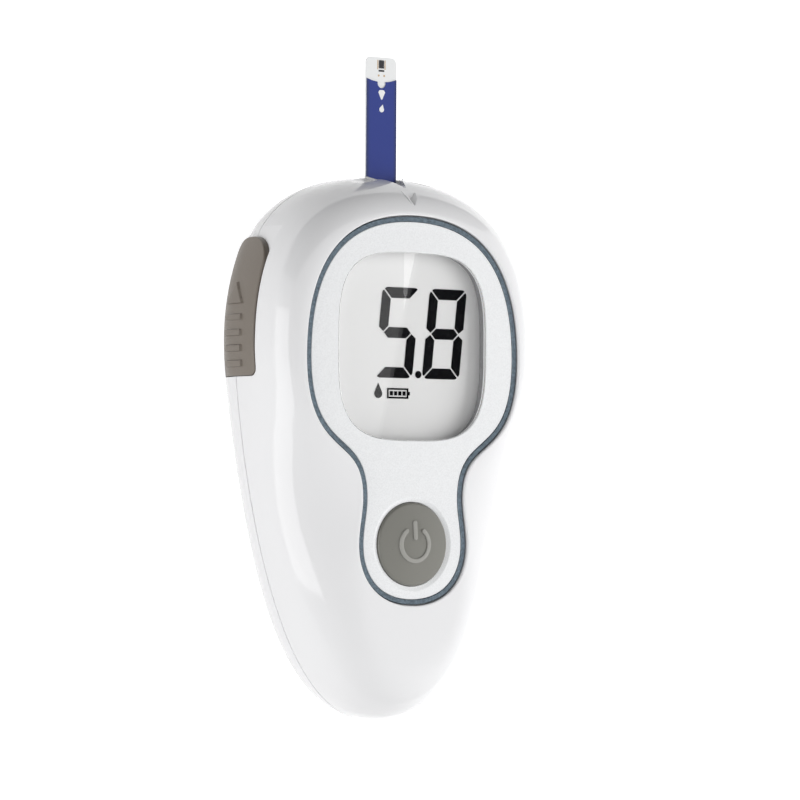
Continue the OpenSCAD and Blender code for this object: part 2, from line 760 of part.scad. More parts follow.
// ---------------------------------------------------------------- mode button
switch_w = 5;
switch_h = 1.6;
plunger_d = 2.4;
plunger_sink = button_travel + 0.4;
plunger_top = board_top + switch_h + 0.9;
module switch_base() {
    color("gray")
    translate([0, button_y, board_top])
        difference() {
            translate([-switch_w / 2, -switch_w / 2, 0])
                cube([switch_w, switch_w, switch_h]);
            translate([0, 0, switch_h - plunger_sink - gap])
                cylinder(d = plunger_d + 2 * gap, h = plunger_sink + gap + e);
        }
}

module switch_plunger() {
    color("sienna")
    translate([0, button_y, board_top + switch_h - 0.3])
        cylinder(d = plunger_d, h = plunger_top - board_top - switch_h + 0.3);
}

button_flange_t = 0.7;
button_flange_top = ledge_top - seat_gap;
button_side_top = panel_top + 0.15;
stem_d = 3;
crown_rise = button_crown - (button_side_top - panel_top);
crown_r = (pow(button_d / 2, 2) + pow(crown_rise, 2)) / (2 * crown_rise);
crown_steps = 10;
// Height of the crown's surface at a distance from the button's middle
function crown_z(r) = panel_top + button_crown - crown_r + sqrt(pow(crown_r, 2) - pow(r, 2));
module mode_button() {
    color("gray")
    translate([0, button_y, 0])
        union() {
            rotate_extrude($fn = 96)
                polygon(concat(
                    [[0, button_flange_top - button_flange_t],
                     [button_d / 2 + 0.8, button_flange_top - button_flange_t],
                     [button_d / 2 + 0.8, button_flange_top], [button_d / 2, button_flange_top]],
                    [for (i = [crown_steps : -1 : 0])
                        let (r = button_d / 2 * i / crown_steps) [r, crown_z(r)]]));
            translate([0, 0, plunger_top + seat_gap])
                cylinder(d = stem_d, h = button_flange_top - button_flange_t - plunger_top);
        }
}

// Raised mark: an open ring with a bar, for switching on
symbol_r = 3.1;
symbol_stroke = 0.75;
symbol_rise = 0.22;
module button_symbol() {
    color("lightgray")
    translate([0, button_y, 0])
        difference() {
            union() {
                translate([0, 0, panel_top])
                    rotate([0, 0, 90 + 38])
                        rotate_extrude(angle = 360 - 76, $fn = 96)
                            translate([symbol_r - symbol_stroke, 0])
                                square([symbol_stroke, crown_z(symbol_r) - panel_top + symbol_rise]);
                translate([-symbol_stroke / 2, symbol_r * 0.25, panel_top])
                    cube([symbol_stroke, symbol_r, crown_z(symbol_r) - panel_top + symbol_rise]);
            }
            // The crown itself
            rotate_extrude($fn = 96)
                polygon(concat([[0, 0], [button_d / 2, 0]],
                    [for (i = [crown_steps : -1 : 0])
                        let (r = button_d / 2 * i / crown_steps) [r, crown_z(r)]]));
        }
}

// ---------------------------------------------------------------- strip
module strip_connector() {
    color("ivory")
    difference() {
        translate([-connector_w / 2, connector_y_low, connector_low])
            cube([connector_w, connector_y_high - connector_y_low, board_under - connector_low]);
        translate([-channel_w / 2, connector_y_low - e, channel_low])
            cube([channel_w, connector_y_high - connector_y_low + 2 * e, channel_high - channel_low]);
        // Slots that the contact springs lie in
        for (x = contact_xs)
            translate([x - leaf_w / 2 - 2 * gap, connector_y_low + leaf_inset - 2 * gap, channel_high - e])
                cube([leaf_w + 4 * gap, leaf_slot_len, board_under - channel_high + e - leaf_roof]);
    }
}
contact_pitch = 1.9;
contact_xs = [-contact_pitch, 0, contact_pitch];
leaf_w = 0.6;                  // width of a contact spring
leaf_t = 0.2;
leaf_run = 3;                  // length of its slope
leaf_foot = 0.6;               // length that lies along the strip
leaf_inset = 2.2;
leaf_slot_len = 7;
leaf_roof = 0.4;               // connector left over the slots
strip_top = strip_z + strip_base_t + strip_film_t;
leaf_high = board_under - leaf_roof - seat_gap;
leaf_low = strip_top + gap;
module strip_contacts() {
    color("gold")
    for (x = contact_xs)
        translate([x - leaf_w / 2, connector_y_low + leaf_inset, 0])
            rotate([90, 0, 90])
                linear_extrude(height = leaf_w)
                    polygon([[0, leaf_high], [0, leaf_high - leaf_t], [leaf_run, leaf_low],
                        [leaf_run + leaf_foot, leaf_low],
                        [leaf_run + leaf_foot + 5 * leaf_t, leaf_low + 1.5 * leaf_t],
                        [leaf_run + leaf_foot + 4.5 * leaf_t, leaf_low + 2.25 * leaf_t],
                        [leaf_run + leaf_foot - leaf_t / 2, leaf_low + leaf_t],
                        [leaf_run + leaf_t / 2, leaf_low + leaf_t], [1.5 * leaf_t, leaf_high]]);
}

strip_corner = 1;
module strip_base() {
    color("white")
    translate([0, 0, strip_z])
        linear_extrude(height = strip_base_t)
            union() {
                translate([-strip_w / 2, strip_in_y])
                    square([strip_w, strip_len - strip_corner]);
                translate([-strip_w / 2 + strip_corner, strip_tip_y - strip_corner - e])
                    square([strip_w - 2 * strip_corner, strip_corner + e]);
                for (x = [-1, 1])
                    translate([x * (strip_w / 2 - strip_corner), strip_tip_y - strip_corner])
                        circle(r = strip_corner, $fn = 32);
            }
}

film_nub_r = 0.8;
film_bare = 4;                 // bare contact length at the inner end
film_dip = 0.7;                // depth of the shallow V in the film's outer end
module strip_film() {
    color("darkblue")
    translate([0, 0, strip_z + strip_base_t])
        linear_extrude(height = strip_film_t)
            difference() {
                polygon([[-strip_w / 2, strip_in_y + film_bare], [strip_w / 2, strip_in_y + film_bare],
                    [strip_w / 2, strip_tip_y - strip_tip + film_dip], [0, strip_tip_y - strip_tip],
                    [-strip_w / 2, strip_tip_y - strip_tip + film_dip]]);
                translate([0, strip_tip_y - strip_tip])
                    circle(r = film_nub_r, $fn = 32);
            }
}

reaction_size = [1.1, 1.5, 0.06];
reaction_in = 2.1;             // from the tip to the window's inner edge
module strip_window() {
    color("black")
    translate([-reaction_size.x / 2, strip_tip_y - reaction_in, strip_z + strip_base_t])
        cube(reaction_size);
}

// ---------------------------------------------------------------- ejector
rib_count = 4;
rib_pitch = 2.5;
rib_t = 1.05;
rib_half = 2.35;
rib_rise = 0.35;
rib_root = 0.2;                // how far ribs and arrow reach into the plate
rib_start = 1.45;              // from the plate's foot to the first rib
arrow_up = 5.55;
arrow_y = pivot_y + arrow_up;
arrow_len = 3.6;
module thumb_slider() {
    color([0.5, 0.47, 0.44])
    union() {
        intersection() {
            swept(slider_low_angle, slider_high_angle)
                polygon(plate_section(plate_low, plate_high, 0, slider_t));
            side_view(plate_y_low, plate_y_high, plate_low, plate_high, corner_low, corner_high);
        }
        // Raised ribs along the foot half of the plate
        for (i = [0 : rib_count - 1])
            let (a = slider_low_angle + (rib_start + rib_pitch * i) / slider_r * 180 / PI)
                swept(a, a + rib_t / slider_r * 180 / PI)
                    polygon(plate_section(seam_h - rib_half, seam_h + rib_half, rib_rise, rib_rise + rib_root));
        // Raised arrow pointing at the port
        intersection() {
            swept(slider_low_angle, slider_high_angle)
                polygon(plate_section(seam_h - rib_half - e, seam_h + rib_half + e,
                    rib_rise, rib_rise + rib_root));
            translate([-body_w, 0, 0])
                rotate([90, 0, 90])
                    linear_extrude(height = body_w)
                        polygon([[arrow_y, seam_h - rib_half], [arrow_y, seam_h + rib_half],
                            [arrow_y + arrow_len, seam_h]]);
        }
        // Stem through the slot in the seam, flange behind the wall and drive pin
        swept(stem_angle - stem_half, stem_angle + stem_half)
            translate([pin_r - pin_d / 2, stem_low])
                square([slider_r - slider_t / 2 - pin_r + pin_d / 2, stem_high - stem_low]);
        swept(stem_angle - flange_half, stem_angle + flange_half)
            translate([flange_out - flange_t, stem_low])
                square([flange_t, flange_h]);
        translate([pin_x, pin_y, pin_low])
            cylinder(d = pin_d, h = stem_low - pin_low + e, $fn = 48);
    }
}

guide_floor_t = 1.15;
carriage_low = roof_top + guide_floor_t + seat_gap;
carriage_t = 1.4;
carriage_top = carriage_low + carriage_t;
pin_x = pivot_x - pin_r * cos(stem_angle);
pin_y = pivot_y + pin_r * sin(stem_angle);
pin_run = pin_r * (cos(stem_angle) - cos(stem_angle + slider_travel));
arm_half = 2.5;
tongue_half = 3;
tongue_y = 12;
ear_x = 8.4;
ear_in = 2;                    // from the pin to the carriage's outer end
post_t = 1.5;
finger_half = 1.8;
finger_t = 0.4;
finger_end = strip_in_y - seat_gap;
module ejector_carriage() {
    color("tan")
    difference() {
        union() {
            translate([pin_x - ear_in, pin_y - arm_half, carriage_low])
                cube([ear_x - pin_x + ear_in, 2 * arm_half, carriage_t]);
            translate([-tongue_half, tongue_y, carriage_low])
                cube([2 * tongue_half, pin_y - tongue_y, carriage_t]);
            translate([-finger_half, pin_y + arm_half - post_t, carriage_low])
                cube([2 * finger_half, post_t, strip_z + finger_t - carriage_low]);
            translate([-finger_half, pin_y + arm_half - post_t, strip_z])
                cube([2 * finger_half, finger_end - pin_y - arm_half + post_t, finger_t]);
        }
        // Slot for the slider's pin
        for (x = [0, pin_run])
            translate([pin_x + x, pin_y, carriage_low - e])
                cylinder(d = pin_d + 2 * pin_fit, h = carriage_t + 2 * e, $fn = 48);
        translate([pin_x, pin_y - pin_d / 2 - pin_fit, carriage_low - e])
            cube([pin_run, pin_d + 2 * pin_fit, carriage_t + 2 * e]);
    }
}

guide_rail_t = 1.3;
guide_y = tongue_y - 2;
guide_end = pin_y - arm_half - 0.5;
rail_high = carriage_top + 0.4;
peg_d = 1.4;
spring_x = 6.6;
spring_r = 1;
spring_wire = 0.3;
spring_turns = 9;
spring_y_low = tongue_y + 1.6;
spring_y_high = pin_y - arm_half - 3 * gap;
spring_z = carriage_low + spring_r + spring_wire / 2 + gap;
module ejector_guide() {
    color("ivory")
    union() {
        translate([-tongue_half - guide_rail_t, guide_y, roof_top])
            cube([ear_x + tongue_half + guide_rail_t, guide_end - guide_y, guide_floor_t]);
        for (x = [-tongue_half - guide_rail_t, tongue_half + gap])
            translate([x, guide_y, roof_top])
                cube([guide_rail_t - gap, guide_end - guide_y, rail_high - roof_top]);
        // Peg that the return spring hooks on
        translate([spring_x, spring_y_low - peg_d / 2 - 4 * gap, roof_top])
            cylinder(d = peg_d, h = rail_high - roof_top, $fn = 32);
    }
}

// Coil along Y: one tube whose rings stand square to its path
coil_sides = 6;
coil_steps = 8;
function coil_at(t) = let (a = 360 * t, run = spring_y_high - spring_y_low - 2 * spring_wire)
    [spring_r * cos(a), run * t / spring_turns, spring_r * sin(a)];
function coil_ring(t) = let (here = coil_at(t), way = unit(coil_at(t + 0.01) - coil_at(t - 0.01)),
    out = unit([here.x, 0, here.z]), side = cross(way, out))
    [for (k = [0 : coil_sides - 1]) let (a = 360 * k / coil_sides)
        here + spring_wire / 2 * (cos(a) * out + sin(a) * side)];
module ejector_spring() {
    color("silver")
    translate([spring_x, spring_y_low + spring_wire, spring_z])
        ring_stack([for (i = [0 : coil_steps * spring_turns]) coil_ring(i / coil_steps)]);
}
echo(coil_gap = (spring_y_high - spring_y_low - 2 * spring_wire) / spring_turns - spring_wire);

// ---------------------------------------------------------------- battery
module battery_cell() {
    color("silver")
    translate([0, cell_y, cell_low])
        union() {
            cylinder(d = cell_d, h = cell_t - 0.5, $fn = 96);
            cylinder(d = cell_d - 3.6, h = cell_t, $fn = 96);
        }
}

module battery_plus_contact() {
    color("gainsboro")
    translate([plus_x - contact_t / 2, cell_y - contact_w / 2, lug_high + 0.3])
        cube([contact_t, contact_w, board_under - lug_high - 0.3]);
}

module battery_minus_contact() {
    color("gainsboro")
    translate([-contact_w / 2, cell_y - minus_reach, cell_high + seat_gap])
        union() {
            cube([contact_w, minus_reach + contact_w, contact_t]);
            cube([contact_w, contact_t, board_under - cell_high - seat_gap]);
        }
}

coin_slot_w = 1.8;
coin_slot_len = 15;
module battery_cover() {
    color("white")
    translate([0, cell_y, 0])
        difference() {
            union() {
                translate([0, 0, cover_low])
                    cylinder(d = cover_d, h = cover_t, $fn = 96);
                translate([0, 0, cover_low])
                    difference() {
                        cylinder(d = cover_d - 0.1, h = lug_high - cover_low, $fn = 96);
                        translate([0, 0, -e])
                            cylinder(d = cover_d - 0.1 - 2 * hub_t, h = lug_high + 2 * e, $fn = 96);
                    }
                for (a = lug_angles)
                    sector(cover_d / 2 - hub_t, cover_d / 2 + lug_reach, lug_low, lug_high, a, lug_w);
            }
            // Slot for a coin
            translate([-coin_slot_len / 2, -coin_slot_w / 2, cover_low - e])
                cube([coin_slot_len, coin_slot_w, e + 0.8]);
        }
}

// ---------------------------------------------------------------- screws
module cross_screw(d, head_d, head_t, length) {
    // Head at the bottom, shank up
    difference() {
        union() {
            translate([0, 0, -head_t])
                cylinder(d = head_d, h = head_t);
            cylinder(d = d, h = length);
        }
        for (a = [0, 90])
            rotate([0, 0, a])
                translate([-head_d * 0.3, -head_d * 0.07, -head_t - e])
                    cube([head_d * 0.6, head_d * 0.14, e + head_t * 0.6]);
    }
}

module shell_screws() {
    color("silver")
    for (p = screw_places)
        translate([p.x, p.y, screw_seat])
            cross_screw(screw_d, screw_head_d, screw_head_t, screw_len);
}

module board_screws() {
    color("silver")
    for (p = board_posts)
        translate([p.x, p.y, board_under])
            cross_screw(board_screw_d, board_screw_head_d, board_screw_head_t, board_screw_len);
}

front_shell();
back_shell();
face_panel();
panel_band();
display_window();
display_gasket();
lcd_cell();
lcd_segments();
lcd_frame();
zebra_connectors();
circuit_board();
processor_chip();
memory_chip();
crystal_can();
chip_resistors();
chip_capacitors();
buzzer();
switch_base();
switch_plunger();
mode_button();
button_symbol();
strip_connector();
strip_contacts();
strip_base();
strip_film();
strip_window();
thumb_slider();
ejector_carriage();
ejector_guide();
ejector_spring();
battery_cell();
battery_plus_contact();
battery_minus_contact();
battery_cover();
shell_screws();
board_screws();
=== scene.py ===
import math

import bmesh
import bpy
import numpy as np
from mathutils import Matrix, Vector
from mathutils.bvhtree import BVHTree
from mathutils.interpolate import poly_3d_calc


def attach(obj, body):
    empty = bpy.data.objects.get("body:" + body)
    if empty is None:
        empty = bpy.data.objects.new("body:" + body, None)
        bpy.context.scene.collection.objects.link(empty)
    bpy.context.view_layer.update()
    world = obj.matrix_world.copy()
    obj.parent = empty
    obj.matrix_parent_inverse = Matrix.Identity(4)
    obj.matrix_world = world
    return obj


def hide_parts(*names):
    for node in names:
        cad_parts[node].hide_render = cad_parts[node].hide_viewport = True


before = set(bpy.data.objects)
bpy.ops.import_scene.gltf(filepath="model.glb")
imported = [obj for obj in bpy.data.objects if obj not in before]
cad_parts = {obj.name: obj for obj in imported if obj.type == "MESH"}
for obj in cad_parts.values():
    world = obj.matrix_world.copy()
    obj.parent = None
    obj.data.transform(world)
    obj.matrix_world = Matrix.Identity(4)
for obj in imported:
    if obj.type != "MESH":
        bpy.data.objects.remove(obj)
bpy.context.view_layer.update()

# ------------------------------------------------------------------ back shell
# The lower half of the housing: one injection-moulded bowl of glossy white ABS,
# 1.8 mm thick. It carries the battery bay and meets the front shell in a fine
# V-shaped seam that runs round the body, 10 mm over the flat back.
MM = 0.001
BODY_LEN, BODY_W, RIM_H, SEAM_H = 89.3, 53.6, 22.5, 10.0
WIDEST_Y, WALL = 16.15, 1.8
PORT_Y, FOOT_Y = BODY_LEN / 2, -BODY_LEN / 2
RAY_Y = -4.25                   # outlines are sampled on rays from (0, RAY_Y)
RAYS = 320
BACK_ROUND, BACK_POWER = 13.8, 2.2
SEAM_DEPTH, SEAM_HALF = 0.35, 0.12
WHITE = (0.86, 0.86, 0.87)
END_FULL, FOOT_FULL, SIDE_RUN = 0.676, 0.82, 6      # how full the outline's curves are
body_chain = np.array([
    [[0, PORT_Y], [END_FULL * BODY_W / 2, PORT_Y],
     [BODY_W / 2, WIDEST_Y + END_FULL * (PORT_Y - WIDEST_Y)], [BODY_W / 2, WIDEST_Y]],
    [[BODY_W / 2, WIDEST_Y], [BODY_W / 2, WIDEST_Y - SIDE_RUN],
     [FOOT_FULL * BODY_W / 2, FOOT_Y], [0, FOOT_Y]]])


def along(chain, u, off=0.0):
    """Points at u along a chain of cubic curves, moved outward by off."""
    i = np.minimum(u.astype(int), len(chain) - 1)
    t = (u - i)[:, None]
    a, b, c, d = (chain[i, k] for k in range(4))
    point = (1 - t)**3 * a + 3 * (1 - t)**2 * t * b + 3 * (1 - t) * t**2 * c + t**3 * d
    way = (1 - t)**2 * (b - a) + 2 * (1 - t) * t * (c - b) + t**2 * (d - c)
    way /= np.linalg.norm(way, axis=1)[:, None]
    return point + off * np.stack([-way[:, 1], way[:, 0]], 1)


def outline(chain, off=0.0):
    """The whole closed outline, one point per ray, clockwise from the port end."""
    half = RAYS // 2
    angles = np.arange(1, half) * math.pi / half
    low, high = np.zeros(half - 1), np.full(half - 1, float(len(chain)))
    for _ in range(40):
        mid = (low + high) / 2
        p = along(chain, mid, off)
        under = np.arctan2(p[:, 0], p[:, 1] - RAY_Y) < angles
        low, high = np.where(under, mid, low), np.where(under, high, mid)
    ends = along(chain, np.array([0.0, float(len(chain))]), off)
    right = np.vstack([[0, ends[0, 1]], along(chain, (low + high) / 2, off), [0, ends[1, 1]]])
    return np.vstack([right, right[-2:0:-1] * [-1, 1]])


def inset(points, by):
    """Each outline point moved toward the ray centre by a distance."""
    c = np.array([0, RAY_Y])
    length = np.linalg.norm(points - c, axis=1)[:, None]
    return c + (points - c) * (1 - np.reshape(by, (-1, 1)) / length)


def at_height(points, z):
    return np.column_stack([points, np.broadcast_to(z, len(points))])


def pattern(mat, scale, detail=2, rough=0.5):
    """A noise on the piece's own coordinates, for a finish's shade, gloss and relief."""
    nodes = mat.node_tree.nodes
    place = next((n for n in nodes if n.type == "TEX_COORD"), None)
    place = place or nodes.new("ShaderNodeTexCoord")
    noise = nodes.new("ShaderNodeTexNoise")
    for key, value in (("Scale", scale), ("Detail", detail), ("Roughness", rough)):
        noise.inputs[key].default_value = value
    mat.node_tree.links.new(place.outputs["Object"], noise.inputs["Vector"])
    return noise.outputs["Fac"]


def vary_gloss(mat, noise, low, high):
    """Roughness that runs between two values with a pattern."""
    nodes, link = mat.node_tree.nodes, mat.node_tree.links.new
    reach = nodes.new("ShaderNodeMapRange")
    reach.inputs["To Min"].default_value = low
    reach.inputs["To Max"].default_value = high
    link(noise, reach.inputs["Value"])
    link(reach.outputs["Result"], nodes["Principled BSDF"].inputs["Roughness"])


def add_relief(mat, noise, strength, height):
    """Fine relief from a pattern, its height in millimetres."""
    nodes, link = mat.node_tree.nodes, mat.node_tree.links.new
    relief = nodes.new("ShaderNodeBump")
    relief.inputs["Strength"].default_value = strength
    relief.inputs["Distance"].default_value = height * MM
    link(noise, relief.inputs["Height"])
    link(relief.outputs["Normal"], nodes["Principled BSDF"].inputs["Normal"])


def moulded(name, colour, rough, mottle=0.02, wave=0.4, bump=0.012, grain=900, coat=0.0):
    """Moulded plastic: slight shade drift, fine surface waviness and grain in the gloss."""
    mat = bpy.data.materials.new(name)
    mat.use_nodes = True
    nodes, link = mat.node_tree.nodes, mat.node_tree.links.new
    skin = nodes["Principled BSDF"]
    skin.inputs["IOR"].default_value = 1.5
    skin.inputs["Coat Weight"].default_value = coat
    skin.inputs["Coat Roughness"].default_value = 0.05
    shade = nodes.new("ShaderNodeMix")
    shade.data_type = "RGBA"
    shade.inputs["A"].default_value = (*colour, 1)
    shade.inputs["B"].default_value = (*[c * (1 - mottle) for c in colour], 1)
    link(pattern(mat, 45, 4), shade.inputs["Factor"])
    link(shade.outputs["Result"], skin.inputs["Base Color"])
    fine = pattern(mat, grain, 3)
    vary_gloss(mat, fine, rough * 0.8, rough * 1.25)
    add_relief(mat, fine, wave, bump)
    return mat


def raw(points, faces, near=1e-8):
    """A bare closed mesh in millimetres, faces turned outward, for cutting and joining."""
    mesh = bpy.data.meshes.new("raw")
    mesh.from_pydata([tuple(p) for p in np.asarray(points, float) * MM], [], faces)
    shape = bmesh.new()
    shape.from_mesh(mesh)
    bmesh.ops.remove_doubles(shape, verts=shape.verts, dist=near)
    bmesh.ops.recalc_face_normals(shape, faces=shape.faces)
    shape.to_mesh(mesh)
    shape.free()
    return mesh


def piece(name, points, faces, material, body, sharp=30):
    """A named mesh from points in millimetres, smooth except at edges over an angle."""
    mesh = raw(points, faces, 1e-7)
    mesh.name = name
    return finish_piece(name, mesh, material, body, sharp)


def finish_piece(name, mesh, material, body, sharp=30, plate=False):
    """The mesh as a named object on its body; a plate's level faces are shaded flat."""
    mesh.shade_smooth()
    mesh.set_sharp_from_angle(angle=math.radians(sharp))
    for face in mesh.polygons:
        face.use_smooth = not (plate and abs(face.normal.z) > 0.9999)
    mesh.materials.clear()
    mesh.materials.append(material)
    made = bpy.data.objects.new(name, mesh)
    bpy.context.scene.collection.objects.link(made)
    if body:
        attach(made, body)
    return made


def strips(rows, count, closed=True):
    """Quads between neighbouring rings of count points each."""
    a = np.arange(count if closed else count - 1)
    b = (a + 1) % count
    return [tuple(int(v) for v in q) for r in range(rows - 1)
            for q in np.stack([a, b, b + count, a + count], 1) + r * count]


def carve(mesh, cutter, action="DIFFERENCE"):
    """Cuts one closed mesh from another, or joins it, and gives the new mesh."""
    base = bpy.data.objects.new("base", mesh)
    tool = bpy.data.objects.new("tool", cutter)
    for o in (base, tool):
        bpy.context.scene.collection.objects.link(o)
    cut = base.modifiers.new("cut", "BOOLEAN")
    cut.operation, cut.solver, cut.object = action, "EXACT", tool
    graph = bpy.context.evaluated_depsgraph_get()
    made = bpy.data.meshes.new_from_object(base.evaluated_get(graph))
    for o in (base, tool):
        bpy.data.objects.remove(o)
    return made


def stack(rings):
    """A closed solid through rings of points, first and last ring capped."""
    n = len(rings[0])
    faces = strips(len(rings), n)
    faces += [tuple(range(n - 1, -1, -1)), tuple(range((len(rings) - 1) * n, len(rings) * n))]
    return raw(np.vstack(rings), faces)


def drum(x, y, z_low, z_high, r_low, r_high=None, sides=64):
    """A closed round solid along Z."""
    a = np.arange(sides) * 2 * math.pi / sides
    ring = np.stack([np.cos(a), np.sin(a)], 1)
    r_high = r_low if r_high is None else r_high
    return stack([at_height(ring * r_low + [x, y], z_low),
                  at_height(ring * r_high + [x, y], z_high)])


def wedge(x, y, r_in, r_out, z_low, z_high, middle, width, sides=16):
    """A closed sector of a ring, for lugs and their notches."""
    a = np.radians(np.linspace(middle - width / 2, middle + width / 2, sides))
    ring = np.stack([np.cos(a), np.sin(a)], 1)
    flat = np.vstack([ring * r_out, ring[::-1] * r_in]) + [x, y]
    return stack([at_height(flat, z_low), at_height(flat, z_high)])


def together(meshes):
    """Several closed meshes as one, which the cut reads as their union."""
    shape = bmesh.new()
    for m in meshes:
        shape.from_mesh(m)
    mesh = bpy.data.meshes.new("together")
    shape.to_mesh(mesh)
    shape.free()
    return mesh


def surface_tree(mesh):
    """A mesh's faces, ready for rays and for nearest points."""
    return BVHTree.FromPolygons([v.co for v in mesh.vertices],
                                [tuple(p.vertices) for p in mesh.polygons])


def bowl_ring(ring, width, depth, s):
    """One level of the bowl's rounded wall, from the seam (s = 0) to the flat back (1)."""
    turn = math.pi / 2 * s
    return at_height(inset(ring, width * (1 - math.cos(turn)**(2 / BACK_POWER))),
                     SEAM_H - depth * math.sin(turn)**(2 / BACK_POWER))


edge = outline(body_chain)
shell_white = moulded("shell_white", WHITE, 0.08, coat=0.3)
bowl = [bowl_ring(edge, BACK_ROUND, SEAM_H, s) for s in np.linspace(1, 0, 30)[:-1]]
bowl += [at_height(edge, SEAM_H - SEAM_HALF), at_height(inset(edge, SEAM_DEPTH), SEAM_H)]
edge_inner = inset(edge, WALL)
hollow = [bowl_ring(edge_inner, BACK_ROUND - WALL, SEAM_H - WALL, s)
          for s in np.linspace(0, 1, 16)]
CELL_Y, COVER_D, BAY_D, BAY_WALL = 13.5, 24.0, 27.0, 1.3
BAY_HIGH, ROOF_TOP, SCREW_SEAT = 5.55, 6.75, 4.8
LUG_ANGLES = (30, 150, 270)
screw_places = [(side * x, y) for x, y in ((10, PORT_Y - 7.6), (12.5, FOOT_Y + 18.6))
                for side in (1, -1)]


def lathe(profile, y, sides=128, x=0.0):
    """A closed turned solid round (x, y) from radius and height pairs, axis to axis or a ring."""
    a = np.arange(sides) * 2 * math.pi / sides
    body = [(r, z) for r, z in profile if r > 1e-6]
    rows = [np.column_stack([x + r * np.cos(a), y + r * np.sin(a), np.full(sides, z)])
            for r, z in body]
    faces = strips(len(rows), sides)
    n = len(rows) * sides
    if len(body) == len(profile):
        return np.vstack(rows), faces + [
            (n - sides + i, n - sides + (i + 1) % sides, (i + 1) % sides, i)
            for i in range(sides)]
    points = np.vstack(rows + [[[x, y, profile[0][1]], [x, y, profile[-1][1]]]])
    for i in range(sides):
        j = (i + 1) % sides
        faces += [(n, j, i), (n + 1, n - sides + i, n - sides + j)]
    return points, faces


CLEAR_OF_ALL = 60               # a height that every ray starts from, past the whole meter


def rooted(solid, shell, side):
    """A turned boss whose points over (side +1) or under (-1) a wall's middle stop there."""
    points, faces = solid
    tree = surface_tree(shell)
    for p in points:
        over = Vector((p[0], p[1], CLEAR_OF_ALL * side)) * MM
        skin = tree.ray_cast(over, Vector((0, 0, -side)))[0].z / MM
        p[2] = side * min(side * p[2], side * skin - WALL / 2)
    return raw(points, faces)


bay = raw(*lathe([(0, BAY_HIGH), (BAY_D / 2, BAY_HIGH), (BAY_D / 2, 1), (BAY_D / 2 + BAY_WALL, 1),
                  (BAY_D / 2 + BAY_WALL, ROOF_TOP), (0, ROOF_TOP)], CELL_Y))
boss = [(1.15, SCREW_SEAT), (2.1, SCREW_SEAT), (2.1, 1.6), (2.5, 1.6), (2.5, SEAM_H),
        (1.15, SEAM_H)]
well_ring = np.array([[math.cos(t), math.sin(t)] for t in np.arange(48) * math.pi / 24])
wells = [stack([at_height(well_ring * r + [x, y], z)
                for r, z in ((2.75, -0.5), (2.75, 0), (2.05, 0.35), (2.05, 4.5))])
         for x, y in screw_places]
mouth = drum(0, CELL_Y, -0.5, WALL + 0.5, COVER_D / 2 + 0.12, sides=128)
for a in LUG_ANGLES:
    mouth = carve(mouth, wedge(0, CELL_Y, COVER_D / 2 - 1, COVER_D / 2 + 1.3, -0.6, WALL + 0.6,
                               a - 45, 30), "UNION")

# ---------------------------------------------------------------- slider track
# The shallow curved track in the left wall that the thumb slider runs in. It is
# cut across the seam through both shells, with a slot for the slider's stem.
SLIDER_R, SLIDER_PROUD, SLIDER_T, SLIDER_H = 40.7, 0.37, 0.9, 10.6
PIVOT_X, PIVOT_Y = SLIDER_R - BODY_W / 2 - SLIDER_PROUD, WIDEST_Y + 1.4
LOW_ANGLE, SPAN, TRAVEL, CLEAR = -8.7, 32.6, 8.6, 0.12
FRONT_ROUND, FRONT_EXTRA, FRONT_POWER = 8.6, 10.0, 2.4
SLIDE_Y = [PIVOT_Y + SLIDER_R * math.sin(math.radians(a))
           for a in (LOW_ANGLE, LOW_ANGLE + SPAN, LOW_ANGLE + SPAN + TRAVEL)]


def side_inset(z):
    """How far the side wall lies inside the widest edge at a height."""
    down = np.clip((SEAM_H - z) / SEAM_H, 0, 1)
    up = np.clip((z - SEAM_H) / (RIM_H - SEAM_H), 0, 1)
    return np.where(z < SEAM_H,
                    BACK_ROUND * (1 - (1 - down**BACK_POWER)**(1 / BACK_POWER)),
                    FRONT_ROUND * (1 - (1 - up**FRONT_POWER)**(1 / FRONT_POWER)))


def on_side(y, z, out):
    """A point on the slider's arc at (y, z), raised by out from its plain face."""
    r = SLIDER_R + out - side_inset(z)
    a = np.arcsin(np.clip((y - PIVOT_Y) / r, -1, 1))
    return np.stack([PIVOT_X - r * np.cos(a), y, z], -1)


